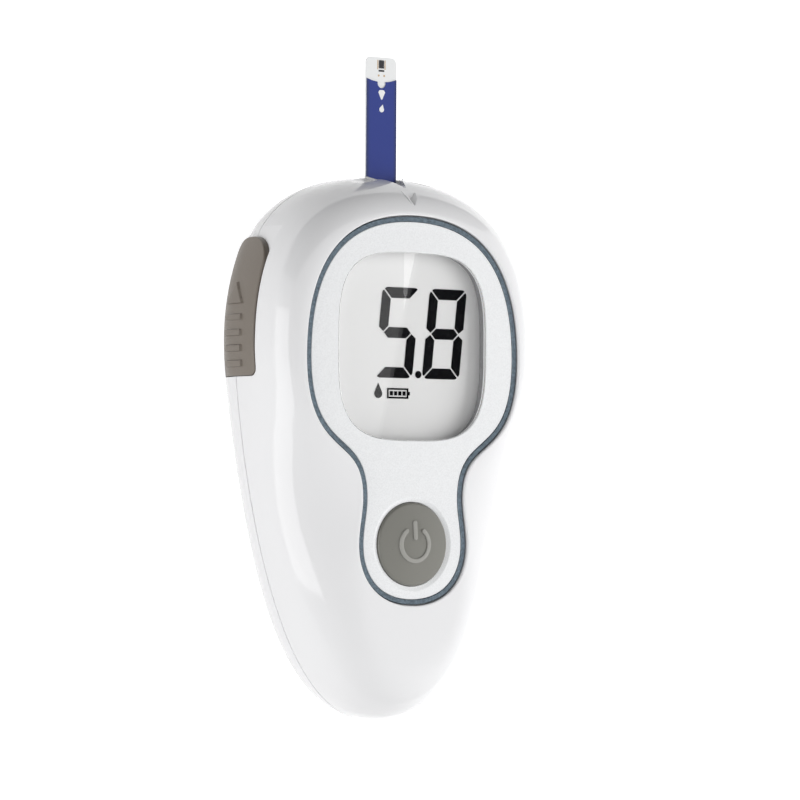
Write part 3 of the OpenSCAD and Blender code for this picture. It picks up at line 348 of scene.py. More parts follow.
def side_pad(y_low, y_high, height, r_low, r_high, outer, inner, n_y=120, n_z=40):
    """A closed curved pad: a rounded outline in (y, z), an outer and an inner face."""
    t = np.linspace(0, 1, n_y)
    y = y_low + (y_high - y_low) * (t - np.sin(2 * math.pi * t) / (2 * math.pi) * 0.8)
    cut_low = np.maximum(0, r_low - (y - y_low))
    cut_high = np.maximum(0, r_high - (y_high - y))
    half = height / 2 - (r_low - np.sqrt(r_low**2 - cut_low**2)) * (cut_low > 0)
    half = half - (r_high - np.sqrt(np.maximum(0, r_high**2 - cut_high**2))) * (cut_high > 0)
    v = np.sin(np.linspace(-1, 1, n_z) * math.pi / 2)
    yy, zz = np.repeat(y[:, None], n_z, 1), SEAM_H + half[:, None] * v
    near = np.minimum(np.minimum(yy - y_low, y_high - yy), half[:, None] * (1 - abs(v)))
    top = on_side(yy, zz, outer(yy, zz, near))
    under = on_side(yy, zz, inner)
    faces = []
    for i in range(n_y - 1):
        for j in range(n_z - 1):
            a = i * n_z + j
            faces.append((a, a + 1, a + n_z + 1, a + n_z))
            b = a + n_y * n_z
            faces.append((b, b + n_z, b + n_z + 1, b + 1))
    rim = ([(i, 0) for i in range(n_y)] + [(n_y - 1, j) for j in range(1, n_z)]
           + [(i, n_z - 1) for i in range(n_y - 2, -1, -1)]
           + [(0, j) for j in range(n_z - 2, 0, -1)])
    loop = [i * n_z + j for i, j in rim]
    for p, q in zip(loop, loop[1:] + loop[:1]):
        faces.append((p, q, q + n_y * n_z, p + n_y * n_z))
    return np.vstack([top.reshape(-1, 3), under.reshape(-1, 3)]), faces


track = raw(*side_pad(SLIDE_Y[0] - CLEAR, SLIDE_Y[2] + CLEAR, SLIDER_H + 2 * CLEAR, 1.3, 4.0,
                      lambda y, z, d: 2.5, -SLIDER_T - CLEAR))
stem_y = [PIVOT_Y + (SLIDER_R - 2) * math.sin(math.radians(a)) for a in (3.4, 17.6)]
stem_slot = raw(*side_pad(stem_y[0], stem_y[1], 2.48, 0.2, 0.2, lambda y, z, d: -0.5, -3.9))
for v in stem_slot.vertices:
    v.co.z += 0.6 * MM


def true_normals(mesh, uncut):
    """Shades what a cut has left of a curved face by the uncut face, so no dent shows."""
    tree = surface_tree(uncut)
    corner = [Vector(c.vector) for c in uncut.corner_normals]
    normals = [(0.0, 0.0, 0.0)] * len(mesh.loops)
    for p in mesh.polygons:
        place, way, found, far = tree.find_nearest(p.center)
        if far > 4e-6 or way.dot(p.normal) < 0.9:
            continue
        for k in p.loop_indices:
            at = mesh.vertices[mesh.loops[k].vertex_index].co
            place, way, found, far = tree.find_nearest(at.lerp(p.center, 0.02))
            old = uncut.polygons[found]
            share = poly_3d_calc([uncut.vertices[i].co for i in old.vertices], place)
            total = sum((corner[c] * s for c, s in zip(old.loop_indices, share)), Vector())
            normals[k] = tuple(total.normalized())
    mesh.normals_split_custom_set(normals)


track = carve(track, stem_slot, "UNION")
uncut_back = stack(bowl + hollow)
back_ribs = [bay] + [rooted(lathe(boss, y, 48, x), uncut_back, -1) for x, y in screw_places]
uncut_back.shade_smooth()
uncut_back.set_sharp_from_angle(angle=math.radians(30))
back = carve(stack(bowl + hollow), together(wells + [mouth, track]))
back_shell = finish_piece("back_shell_moulding", together([back] + back_ribs), shell_white, "meter")
true_normals(back_shell.data, uncut_back)
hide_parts("back_shell")

# ----------------------------------------------------------------- front shell
# The upper half: a dome of the same glossy white ABS, moulded in one piece with
# the lip and ledge that hold the face panel, the screw bosses, the strip port
# with its two thumb scoops, and a sunk arrow that points from port to display.
PANEL_W, PANEL_UPPER, WAIST_DROP, WAIST_W = 39.9, 22.1, 23.0, 17.9
FOOT_W, FOOT_DROP, PANEL_T, PANEL_TOP = 19.4, 9.0, 1.2, 22.0
PANEL_Y, WAIST_Y, BUTTON_Y = WIDEST_Y - 1.4, -8.25, -15.65
LEDGE_TOP, LEDGE_UNDER = 20.8, 19.6
BAND_W, BAND_GAP, LIP_R = 0.8, 0.2, 0.22
LIP_OFF = BAND_W + BAND_GAP
TOP_Y = PANEL_Y + PANEL_UPPER
PANEL_FULL, NECK_IN, NECK_OUT, NECK_RUN, TOE_FULL = 0.664, 0.74, 0.52, 2.5, 0.62
panel_chain = np.array([
    [[0, TOP_Y], [PANEL_FULL * PANEL_W / 2, TOP_Y],
     [PANEL_W / 2, PANEL_Y + PANEL_FULL * PANEL_UPPER], [PANEL_W / 2, PANEL_Y]],
    [[PANEL_W / 2, PANEL_Y], [PANEL_W / 2, PANEL_Y - NECK_IN * WAIST_DROP],
     [WAIST_W / 2, WAIST_Y + NECK_OUT * WAIST_DROP], [WAIST_W / 2, WAIST_Y]],
    [[WAIST_W / 2, WAIST_Y], [WAIST_W / 2, WAIST_Y - NECK_RUN],
     [FOOT_W / 2, BUTTON_Y + NECK_RUN], [FOOT_W / 2, BUTTON_Y]],
    [[FOOT_W / 2, BUTTON_Y], [FOOT_W / 2, BUTTON_Y - TOE_FULL * FOOT_DROP],
     [TOE_FULL * FOOT_W / 2, BUTTON_Y - FOOT_DROP], [0, BUTTON_Y - FOOT_DROP]]])


def rise(d, width, power):
    """Height share reached at a distance from the edge of a rounded shoulder."""
    return (1 - np.clip(1 - d / width, 0, 1)**power)**(1 / power)


def smooth(t):
    t = np.clip(t, 0, 1)
    return t * t * (3 - 2 * t)


def dome_ring(outer, inner, share, power, trim, low, high):
    """One level of the dome, a share of the way from its outer to its inner outline."""
    full = np.linalg.norm(inner - outer, axis=1)
    u = (WIDEST_Y - edge[:, 1]) / (WIDEST_Y - FOOT_Y)
    width = FRONT_ROUND + FRONT_EXTRA * smooth(2 * u) * (1 - 0.8 * smooth(2 * u - 1)) - trim
    z = low + (high - low) * rise(full * share, width, power) / rise(full, width, power)
    return at_height(outer + (inner - outer) * share, z)


rim = outline(panel_chain, LIP_OFF + 0.35)
ceiling = outline(panel_chain, -0.5)
rings = [at_height(inset(edge, SEAM_DEPTH), SEAM_H), at_height(edge, SEAM_H + SEAM_HALF)]
rings += [dome_ring(edge, rim, (j / 60)**2, FRONT_POWER, 0, SEAM_H, RIM_H) for j in range(2, 61)]
rings += [at_height(outline(panel_chain, LIP_OFF + LIP_R * (1 - math.sin(a))),
                    RIM_H - LIP_R * (1 - math.cos(a))) for a in np.linspace(0, math.pi / 2, 6)]
rings += [at_height(outline(panel_chain, LIP_OFF), LEDGE_TOP),
          at_height(outline(panel_chain, -1), LEDGE_TOP),
          at_height(outline(panel_chain, -1), LEDGE_UNDER)]
rings += [dome_ring(edge_inner, ceiling, (j / 20)**2, 3.2, WALL, SEAM_H, LEDGE_UNDER)
          for j in range(20, 0, -1)]
rings += [at_height(edge_inner, SEAM_H)]
faces = strips(len(rings), RAYS)
last = (len(rings) - 1) * RAYS
faces += [(last + i, last + (i + 1) % RAYS, (i + 1) % RAYS, i) for i in range(RAYS)]
front = raw(np.vstack(rings), faces)
uncut_front = front.copy()
uncut_front.shade_smooth()
uncut_front.set_sharp_from_angle(angle=math.radians(30))
skin_tree = surface_tree(uncut_front)


def on_dome(x, y):
    """The point of the dome's outer face over (x, y), and its outward direction."""
    over = Vector((x, y, CLEAR_OF_ALL)) * MM
    place, way, found, far = skin_tree.ray_cast(over, Vector((0, 0, -1)))
    return np.array(place) / MM, np.array(way)


BOARD_TOP, POST_X, POST_Y = 15.9, 17, -2.55
STRIP_Z, PORT_HALF, PORT_OUT, PORT_NECK, PORT_PEAK = 12.05, 3.8, 46.5, 19.2, 19.45
SLOT_HALF, SLOT_IN = 3.1, 41.3
PORT_LOW, SLOT_TOP = STRIP_Z - 0.1, STRIP_Z + 0.77
front_bosses = [(x, y, 1.02, 2.5, SEAM_H, 17.4, 20.0 if y > 0 else 19.45)
                for x, y in screw_places]
front_bosses += [(x, POST_Y, 0.82, 1.9, BOARD_TOP, 18.8, 20.2) for x in (-POST_X, POST_X)]
front_ribs = [rooted(lathe([(0, deep), (bore, deep), (bore, low), (r, low), (r, top), (0, top)],
                           y, 48, x), uncut_front, 1)
              for x, y, bore, r, low, deep, top in front_bosses]


def port_ring(y_low, y_high):
    """The port's mouth as a triangle, its point toward the display, leaning back."""
    return np.array([[-PORT_HALF, y_low, PORT_LOW], [PORT_HALF, y_low, PORT_LOW],
                     [0.25, y_high, PORT_NECK], [0, y_high, PORT_PEAK], [-0.25, y_high, PORT_NECK]])


mouth = stack([port_ring(PORT_OUT, PORT_OUT), port_ring(44.0, 42.1)])
slot = stack([at_height(np.array([[-SLOT_HALF, SLOT_IN], [SLOT_HALF, SLOT_IN],
                                  [SLOT_HALF, PORT_OUT], [-SLOT_HALF, PORT_OUT]]), z)
              for z in (PORT_LOW, SLOT_TOP)])
SCOOP_AT, SCOOP_SIZE, SCOOP_DEEP, SCOOP_TURN = (4.9, 43.3, 15.1), (9.5, 4.6, 5.0), 0.42, 28


def scoop(side):
    """A shallow thumb scoop beside the port: an ellipsoid that shaves the dome."""
    x, y, z = SCOOP_AT
    place, way, found, far = skin_tree.find_nearest(Vector((x * side, y, z)) * MM)
    ball = bmesh.new()
    bmesh.ops.create_icosphere(ball, subdivisions=6, radius=1)
    across = Vector((1, 0, 0)) - way * way.x
    across.normalize()
    turn = Matrix((across, way.cross(across), way)).transposed().to_4x4()
    size = Matrix.Diagonal((*SCOOP_SIZE, 1))
    lean = Matrix.Rotation(math.radians(-SCOOP_TURN * side), 4, "Z")
    where = Matrix.Translation(Vector(place) / MM + Vector(way) * (SCOOP_SIZE[2] - SCOOP_DEEP))
    bmesh.ops.transform(ball, matrix=Matrix.Scale(MM, 4) @ where @ turn @ lean @ size,
                        verts=ball.verts)
    mesh = bpy.data.meshes.new("scoop")
    ball.to_mesh(mesh)
    ball.free()
    return mesh


corners = [on_dome(x, y) for x, y in ((-1.4, 41.85), (1.4, 41.85), (0, 39.35))]
middle, up = on_dome(0.15, 41.0)
deep = middle - up * 0.62
arrow = stack([np.array([deep + (c - deep) * 0.02 for c, n in corners]),
               np.array([deep + (c - deep) * 1.8 for c, n in corners])])
port = carve(mouth, slot, "UNION")
for side in (-1, 1):
    port = carve(port, scoop(side), "UNION")
front = carve(front, together([port, arrow, track]))


def bead(path, r, sides=12):
    """A thin round lip along a path, which catches the light on a moulded edge."""
    path = np.asarray(path, float)
    way = np.gradient(path, axis=0)
    way /= np.linalg.norm(way, axis=1)[:, None]
    across = np.cross(way, (0, 0, 1))
    across /= np.linalg.norm(across, axis=1)[:, None]
    over = np.cross(across, way)
    turns = np.arange(sides) * 2 * math.pi / sides
    return stack([p + r * (np.outer(np.cos(turns), a) + np.outer(np.sin(turns), o))
                  for p, a, o in zip(path, across, over)])


lip_path = ((3.75, 44.5, 13.3), (1.9, 43.45, 16.4), (0.05, 42.4, 19.3))
lips = [bead([[x * side, y, z] for x, y, z in lip_path], 0.2) for side in (-1, 1)]
lips.append(bead([on_dome(x, y)[0] for x, y in ((-1.35, 41.9), (-0.7, 40.6), (-0.02, 39.4))], 0.11))
front_shell = finish_piece("front_shell_moulding", together([front] + front_ribs + lips),
                           shell_white, "meter")
true_normals(front_shell.data, uncut_front)
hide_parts("front_shell")

# ------------------------------------------------------------------ face panel
# The flat keyhole-shaped face plate, 1.2 mm thick, glued to the ledge. It is
# clear-coated white with a fine pearl grain, with a bevel round the button.
WINDOW_W, WINDOW_H, WINDOW_Y, SQUARENESS = 29.3, 30.7, 16.5, 3.4
BUTTON_D, BUTTON_GAP = 13.6, 0.1


def squircle(grow, count=180):
    """The window's rounded-square outline, grown by a distance."""
    a = np.arange(count) * 2 * math.pi / count
    c, s = np.cos(a), np.sin(a)
    return np.stack([(WINDOW_W / 2 + grow) * np.sign(c) * abs(c)**(2 / SQUARENESS),
                     WINDOW_Y + (WINDOW_H / 2 + grow) * np.sign(s) * abs(s)**(2 / SQUARENESS)], 1)


def circle(radius, y=BUTTON_Y, count=160):
    """A round outline about the button's middle."""
    a = np.arange(count) * 2 * math.pi / count
    return np.stack([radius * np.cos(a), y + radius * np.sin(a)], 1)


def sheet_solid(loops):
    """A flat plate from stacks of rings: the first stack is its rim, the others holes."""
    shape = bmesh.new()
    ends = ([], [])
    for levels in loops:
        grid = [[shape.verts.new(Vector((p[0], p[1], z)) * MM) for p in ring] for ring, z in levels]
        n = len(grid[0])
        for low, high in zip(grid, grid[1:]):
            for i in range(n):
                shape.faces.new((low[i], low[(i + 1) % n], high[(i + 1) % n], high[i]))
        for k, ring in ((0, grid[0]), (1, grid[-1])):
            ends[k].extend(shape.edges.get((ring[i], ring[(i + 1) % n])) for i in range(n))
    for rim_edges in ends:
        bmesh.ops.triangle_fill(shape, use_beauty=True, edges=rim_edges)
    bmesh.ops.recalc_face_normals(shape, faces=shape.faces)
    mesh = bpy.data.meshes.new("plate")
    shape.to_mesh(mesh)
    shape.free()
    return mesh


def rounded_levels(ring, z_low, z_high, r, side=-1, steps=4):
    """Rings of one rim: straight up, then rounded over; side is +1 for a hole."""
    turns = np.linspace(0, math.pi / 2, steps)
    return [(ring(0), z_low)] + [
        (ring(side * r * (1 - math.cos(t))), z_high - r * (1 - math.sin(t))) for t in turns]


def two_tones(mat, noise, stops, tones):
    """Colour that runs between two tones with a pattern."""
    nodes, link = mat.node_tree.nodes, mat.node_tree.links.new
    ramp = nodes.new("ShaderNodeValToRGB")
    for element, stop, tone in zip(ramp.color_ramp.elements, stops, tones):
        element.position = stop
        element.color = (*[min(1, c) for c in tone], 1)
    link(noise, ramp.inputs["Fac"])
    link(ramp.outputs["Color"], nodes["Principled BSDF"].inputs["Base Color"])


def pearl(name, colour, sparkle, rough):
    """White print under a clear film: pale specks of two sizes in a satin face."""
    mat = moulded(name, colour, rough, mottle=0.01, wave=0.15, bump=0.004, grain=2500)
    two_tones(mat, pattern(mat, 5200, 2, 0.8), (0.36, 0.62),
              ([c * (1 - sparkle) for c in colour], [c * (1 + sparkle * 0.5) for c in colour]))
    return mat


panel_white = pearl("panel_white", (0.88, 0.89, 0.9), 0.07, 0.3)
bevel = [(circle(BUTTON_D / 2 + BUTTON_GAP), LEDGE_TOP),
         (circle(BUTTON_D / 2 + BUTTON_GAP), PANEL_TOP - 0.24),
         (circle(BUTTON_D / 2 + BUTTON_GAP + 0.62), PANEL_TOP - 0.05),
         (circle(BUTTON_D / 2 + BUTTON_GAP + 0.7), PANEL_TOP - 0.012),
         (circle(BUTTON_D / 2 + BUTTON_GAP + 0.78), PANEL_TOP)]
panel = finish_piece("face_panel_plate", sheet_solid([
    rounded_levels(lambda g: outline(panel_chain, -0.05 + g), LEDGE_TOP, PANEL_TOP, 0.08),
    rounded_levels(lambda g: squircle(g), LEDGE_TOP, PANEL_TOP, 0.1, side=1), bevel]),
    panel_white, "meter", sharp=40, plate=True)
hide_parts("face_panel")

# ------------------------------------------------------------------ metal band
# A thin strip of blue-grey anodised aluminium, bent round the panel and pressed
# into the gap between panel and lip. Its top face is brushed along its length.
band_profile = (BAND_W, PANEL_T + 0.1)


def swept_band(name, path, width, height, fillet, material):
    """A node tree that sweeps a rounded bar along a closed path lying flat."""
    curve = bpy.data.curves.new(name + "_path", "CURVE")
    curve.dimensions = "3D"
    spline = curve.splines.new("POLY")
    spline.points.add(len(path) - 1)
    spline.points.foreach_set("co", np.column_stack([path * MM, np.ones(len(path))]).ravel())
    spline.use_cyclic_u = True
    holder = bpy.data.objects.new(name + "_path", curve)
    bpy.context.scene.collection.objects.link(holder)
    tree = bpy.data.node_groups.new(name + "_tree", "GeometryNodeTree")
    face = tree.interface
    face.new_socket("Path", in_out="INPUT", socket_type="NodeSocketGeometry")
    sizes = [("Width", width), ("Height", height), ("Fillet", fillet)]
    ids = [face.new_socket(n, in_out="INPUT", socket_type="NodeSocketFloat").identifier
           for n, v in sizes]
    face.new_socket("Band", in_out="OUTPUT", socket_type="NodeSocketGeometry")
    new, link = tree.nodes.new, tree.links.new
    start, end = new("NodeGroupInput"), new("NodeGroupOutput")
    upright = new("GeometryNodeSetCurveNormal")
    upright.mode = "Z_UP"
    section = new("GeometryNodeCurvePrimitiveQuadrilateral")
    soften = new("GeometryNodeFilletCurve")
    soften.mode = "POLY"
    soften.inputs["Count"].default_value = 3
    sweep, real = new("GeometryNodeCurveToMesh"), new("GeometryNodeRealizeInstances")
    paint = new("GeometryNodeSetMaterial")
    paint.inputs["Material"].default_value = material
    link(start.outputs["Path"], upright.inputs["Curve"])
    link(start.outputs["Width"], section.inputs["Width"])
    link(start.outputs["Height"], section.inputs["Height"])
    link(section.outputs["Curve"], soften.inputs["Curve"])
    link(start.outputs["Fillet"], soften.inputs["Radius"])
    link(upright.outputs["Curve"], sweep.inputs["Curve"])
    link(soften.outputs["Curve"], sweep.inputs["Profile Curve"])
    link(sweep.outputs["Mesh"], real.inputs["Geometry"])
    link(real.outputs["Geometry"], paint.inputs["Geometry"])
    link(paint.outputs["Geometry"], end.inputs["Band"])
    grow = holder.modifiers.new("sweep", "NODES")
    grow.node_group = tree
    for key, (_, value) in zip(ids, sizes):
        grow[key] = value * MM
    graph = bpy.context.evaluated_depsgraph_get()
    mesh = bpy.data.meshes.new_from_object(holder.evaluated_get(graph))
    bpy.data.objects.remove(holder)
    shape = bmesh.new()
    shape.from_mesh(mesh)
    bmesh.ops.recalc_face_normals(shape, faces=shape.faces)
    shape.to_mesh(mesh)
    shape.free()
    return mesh


def brushed(name, colour, rough, metal=1.0):
    """Brushed metal: bright and dark flecks in the colour and in the gloss."""
    mat = bpy.data.materials.new(name)
    mat.use_nodes = True
    mat.node_tree.nodes["Principled BSDF"].inputs["Metallic"].default_value = metal
    fleck = pattern(mat, 2600, 3, 0.7)
    two_tones(mat, fleck, (0.32, 0.68), ([c * 0.62 for c in colour], [c * 1.35 for c in colour]))
    vary_gloss(mat, fleck, rough * 0.75, rough * 1.3)
    add_relief(mat, fleck, 0.5, 0.01)
    return mat


band_metal = brushed("band_metal", (0.15, 0.19, 0.225), 0.34)
band_path = at_height(outline(panel_chain, BAND_W / 2), LEDGE_TOP + band_profile[1] / 2)
band = finish_piece("panel_band_trim",
                    swept_band("band", band_path, *band_profile, 0.1, band_metal),
                    band_metal, "meter", sharp=50)
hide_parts("panel_band")

# --------------------------------------------------------------------- display
# A clear acrylic lens sits in the panel from behind, on a foam gasket. Under it
# lies the light grey liquid crystal cell with its switched-on segments.
LCD_TOP = 19.3
DIGIT_W, DIGIT_H, STROKE, LEAN = 7.4, 14.8, 1.75, math.tan(math.radians(6))
DIGIT_X, DIGIT_Y = (-6.1, 3.3), WINDOW_Y - 5.1


def clear_acrylic(name):
    """Polished clear plastic: sharp reflections, and lamps shine through it."""
    mat = bpy.data.materials.new(name)
    mat.use_nodes = True
    nodes, link = mat.node_tree.nodes, mat.node_tree.links.new
    skin = nodes["Principled BSDF"]
    skin.inputs["Base Color"].default_value = (0.99, 0.99, 0.99, 1)
    skin.inputs["Transmission Weight"].default_value = 1
    skin.inputs["IOR"].default_value = 1.42
    vary_gloss(mat, pattern(mat, 120), 0.0, 0.008)
    light = nodes.new("ShaderNodeLightPath")
    through = nodes.new("ShaderNodeBsdfTransparent")
    through.inputs["Color"].default_value = (0.98, 0.98, 0.98, 1)
    mix, either = nodes.new("ShaderNodeMixShader"), nodes.new("ShaderNodeMath")
    either.operation = "MAXIMUM"
    link(light.outputs["Is Shadow Ray"], either.inputs[0])
    link(light.outputs["Is Diffuse Ray"], either.inputs[1])
    link(either.outputs["Value"], mix.inputs["Fac"])
    link(skin.outputs["BSDF"], mix.inputs[1])
    link(through.outputs["BSDF"], mix.inputs[2])
    link(mix.outputs["Shader"], nodes["Material Output"].inputs["Surface"])
    return mat


lens = finish_piece("display_lens", sheet_solid([
    [(squircle(0.7), LEDGE_TOP), (squircle(0.7), LEDGE_TOP + 0.55),
     (squircle(-0.05), LEDGE_TOP + 0.56)]
    + rounded_levels(lambda g: squircle(-0.05 + g), LEDGE_TOP + 0.6, PANEL_TOP - 0.025, 0.06)]),
    clear_acrylic("window_clear"), "meter", sharp=40, plate=True)
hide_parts("display_window")
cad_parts["lcd_cell"].data.materials[0] = moulded(
    "lcd_grey", (0.88, 0.88, 0.875), 0.6, mottle=0.015, wave=0.1, grain=4000)
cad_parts["display_gasket"].data.materials[0] = moulded(
    "gasket_foam", (0.3, 0.3, 0.31), 0.8, mottle=0.3, wave=1.0, bump=0.05, grain=3000)


def segment_shapes():
    """The seven bars of a numeral, mitred at round outer corners, gaps left between them."""
    w, h, s, g, r = DIGIT_W, DIGIT_H, STROKE, 0.2, 1.1
    m, cut = h / 2, r * (1 - math.sqrt(0.5))
    bends = [(r * (1 - math.sin(t)), r * (1 - math.cos(t))) for t in np.radians((0, 15, 30))]
    left_end = [(x, h - y) for x, y in bends] + [(cut + g, h - cut)]
    top = [(w - x, y) for x, y in left_end] + [(w - s - g, h - s), (s + g, h - s)] + left_end[::-1]
    left = [(y, h - x) for x, y in bends]
    left += [(cut, h - cut - g), (s, h - s - g), (s, m + s / 2 + g), (s / 2, m + g), (0, m + s / 2)]
    right = [(w - x, y) for x, y in left]
    mid = [(s / 2 + g, m), (s + g, m + s / 2), (w - s - g, m + s / 2), (w - s / 2 - g, m),
           (w - s - g, m - s / 2), (s + g, m - s / 2)]
    under = [[(x, h - y) for x, y in shape] for shape in (right, top, left)]
    return [top, right, under[0], under[1], under[2], left, mid]


def prism(points, z_low, z_high):
    """A flat outline as a closed plate between two heights."""
    n = len(points)
    ring = np.asarray(points, float)
    return (np.vstack([at_height(ring, z_low), at_height(ring, z_high)]),
            [tuple(range(n - 1, -1, -1)), tuple(range(n, 2 * n))]
            + [(i, (i + 1) % n, (i + 1) % n + n, i + n) for i in range(n)])


points, faces = [], []
shapes = [[(x + y * LEAN + DIGIT_X[k], y + DIGIT_Y) for x, y in segment_shapes()[i]]
          for k, lit in enumerate(((0, 5, 6, 2, 3), range(7))) for i in lit]
shapes.append([(DIGIT_X[0] + DIGIT_W + 1.26 + 0.6 * math.cos(a), DIGIT_Y + 0.66 + 0.6 * math.sin(a))
               for a in np.arange(32) * math.pi / 16])
drop = [(0.75 * math.cos(a), 0.75 * math.sin(a)) for a in np.radians(np.arange(150, 391, 12))]
shapes.append([(x + DIGIT_X[0] + 0.75, y + DIGIT_Y - 2.6) for x, y in drop + [(0, 1.72)]])
GAUGE_X, GAUGE_Y, GAUGE_W, GAUGE_H, LINE = -3.6, DIGIT_Y - 3.35, 4.2, 1.7, 0.28
step = (GAUGE_W - 3 * LINE) / 4
boxes = [(0, 0, GAUGE_W, LINE), (0, GAUGE_H - LINE, GAUGE_W, LINE),
         (0, LINE, LINE, GAUGE_H - 2 * LINE), (GAUGE_W - LINE, LINE, LINE, GAUGE_H - 2 * LINE),
         (GAUGE_W, GAUGE_H / 2 - LINE, LINE, 2 * LINE)]
boxes += [(2 * LINE + i * step, 1.8 * LINE, step - LINE, GAUGE_H - 3.6 * LINE) for i in range(4)]
shapes += [[(GAUGE_X + x, GAUGE_Y + y), (GAUGE_X + x + w, GAUGE_Y + y),
            (GAUGE_X + x + w, GAUGE_Y + y + h), (GAUGE_X + x, GAUGE_Y + y + h)]
           for x, y, w, h in boxes]
for shape in shapes:
    p, f = prism(shape, LCD_TOP + 0.002, LCD_TOP + 0.08)
    faces += [tuple(i + sum(len(q) for q in points) for i in face) for face in f]
    points.append(p)
lcd_black = moulded("lcd_black", (0.004, 0.004, 0.005), 0.6, mottle=0.3, wave=0.1, grain=3000)
lcd_black.node_tree.nodes["Principled BSDF"].inputs["Specular IOR Level"].default_value = 0.05
segments = piece("lit_segments", np.vstack(points), faces, lcd_black, "meter")
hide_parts("lcd_segments")

# ----------------------------------------------------------------- mode button
# A satin olive-grey cap, slightly crowned, with a broken edge and a retaining
# flange under the panel. Its mark, an open ring and a bar, is moulded raised and
# coloured lighter than the cap as a painted highlight for its lit edges.
CROWN = 0.9
CROWN_R = ((BUTTON_D / 2)**2 + (CROWN - 0.15)**2) / (2 * (CROWN - 0.15))
button_grey = moulded("button_grey", (0.19, 0.187, 0.165), 0.3, mottle=0.05, wave=0.3, bump=0.01,
                      grain=1500, coat=0.25)


def crown_z(r):
    """Height of the button's crowned face at a distance from its middle."""
    return PANEL_TOP + CROWN - CROWN_R + np.sqrt(CROWN_R**2 - np.minimum(r, BUTTON_D / 2)**2)


EDGE, CAP_LOW, FLANGE_TOP, STEM_LOW = 0.5, 20.05, 20.75, 18.45
edge_z = float(crown_z(BUTTON_D / 2 - 0.8 * EDGE)) - 0.98 * EDGE
cap = [(0, CAP_LOW), (BUTTON_D / 2 + 0.8, CAP_LOW), (BUTTON_D / 2 + 0.8, FLANGE_TOP),
       (BUTTON_D / 2, FLANGE_TOP)]
cap += [(BUTTON_D / 2 - EDGE * (1 - math.cos(t)), edge_z + EDGE * math.sin(t))
        for t in np.linspace(0, math.pi / 2 - 0.21, 9)]
cap += [(r, float(crown_z(r))) for r in np.linspace(BUTTON_D / 2 - EDGE * 1.1, 0, 26)]
button = piece("mode_button_cap", *lathe(cap, BUTTON_Y), button_grey, "button", sharp=60)
piece("mode_button_stem",
      *lathe([(0, STEM_LOW), (1.5, STEM_LOW), (1.5, 20.06), (0, 20.06)], BUTTON_Y),
      button_grey, "button")
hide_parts("mode_button")


def raised_stroke(path, half, height):
    """A low rounded ridge along a path on the crown, its ends rounded off."""
    path = np.asarray(path, float)
    way = np.gradient(path, axis=0)
    way /= np.linalg.norm(way, axis=1)[:, None]
    side = np.stack([-way[:, 1], way[:, 0]], 1)
    section = [(-1, -0.1), (-1, 0.55), (-0.86, 0.9), (-0.6, 1),
               (0.6, 1), (0.86, 0.9), (1, 0.55), (1, -0.1)]
    rows = []
    ends = [(-math.cos(t), math.sin(t)) for t in np.linspace(0.25, math.pi / 2, 5)]
    stations = [(path[0] + way[0] * half * c, side[0], s) for c, s in ends[:-1]]
    stations += [(p, q, 1) for p, q in zip(path, side)]
    stations += [(path[-1] - way[-1] * half * c, side[-1], s) for c, s in ends[-2::-1]]
    for p, q, wide in stations:
        for u, v in section:
            x, y = p + q * u * half * wide
            rows.append([x, y, float(crown_z(math.hypot(x, y - BUTTON_Y))) + v * height])
    n, k = len(section), len(stations)
    faces = strips(k, n) + [tuple(range(n - 1, -1, -1)), tuple(range((k - 1) * n, k * n))]
    return np.array(rows), faces


MARK_R, MARK_HALF, MARK_RISE = 2.72, 0.375, 0.22
turn = np.radians(np.linspace(128, 412, 56))
ring_points, ring_faces = raised_stroke(
    np.stack([MARK_R * np.cos(turn), BUTTON_Y + MARK_R * np.sin(turn)], 1), MARK_HALF, MARK_RISE)
bar_points, bar_faces = raised_stroke(
    [[0, BUTTON_Y + y] for y in np.linspace(1.05, 3.5, 10)], MARK_HALF, MARK_RISE)
# The mark is the cap's plastic coloured lighter: a painted highlight, not a lighter plastic.
symbol_light = moulded("symbol_light", (0.33, 0.325, 0.3), 0.22, mottle=0.05, wave=0.3,
                       grain=1500, coat=0.3)
mark = piece("button_mark", np.vstack([ring_points, bar_points]),
             ring_faces + [tuple(i + len(ring_points) for i in f) for f in bar_faces],
             symbol_light, "button", sharp=50)
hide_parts("button_symbol")

# ---------------------------------------------------------------- thumb slider
# The warm-grey satin slider that pushes the used strip out. It follows the side
# of the body, with four grip ribs and an arrow, and rides on a stem in the slot.
slider_taupe = moulded("slider_taupe", (0.19, 0.164, 0.138), 0.42, mottle=0.06, wave=0.6,
                       bump=0.02, grain=2600)
SLIDER_EDGE, RIB_RISE, RIB_HALF = 0.22, 0.35, 2.35
rib_s = [SLIDER_R * math.sin(math.radians(LOW_ANGLE)) + 1.45 + 2.5 * i for i in range(4)]
ARROW_Y, ARROW_LEN = PIVOT_Y + 5.55, 3.6


def ridge(d, soft=0.1):
    """Height share of a raised form at a distance inside its outline."""
    return np.clip(d / soft + 0.5, 0, 1)**2 * (3 - 2 * np.clip(d / soft + 0.5, 0, 1))


def slider_face(y, z, near):
    """Height of the slider's outer face: rounded edge, ribs and arrow."""
    d = np.clip(near, 0, SLIDER_EDGE)
    out = -SLIDER_EDGE + np.sqrt(SLIDER_EDGE**2 - (SLIDER_EDGE - d)**2)
    across = RIB_HALF - abs(z - SEAM_H)
    for s in rib_s:
        low = PIVOT_Y + s
        out = out + RIB_RISE * ridge(np.minimum(across, np.minimum(y - low, low + 1.05 - y)))
    slope = (ARROW_Y + ARROW_LEN - y) * RIB_HALF / ARROW_LEN - abs(z - SEAM_H)
    return out + RIB_RISE * ridge(np.minimum(y - ARROW_Y, slope * 0.86))


points, faces = side_pad(SLIDE_Y[0], SLIDE_Y[1], SLIDER_H, 1.3, 4.9, slider_face, -SLIDER_T,
                         330, 110)
slider = piece("thumb_slider_cap", points, faces, slider_taupe, "slider", sharp=50)


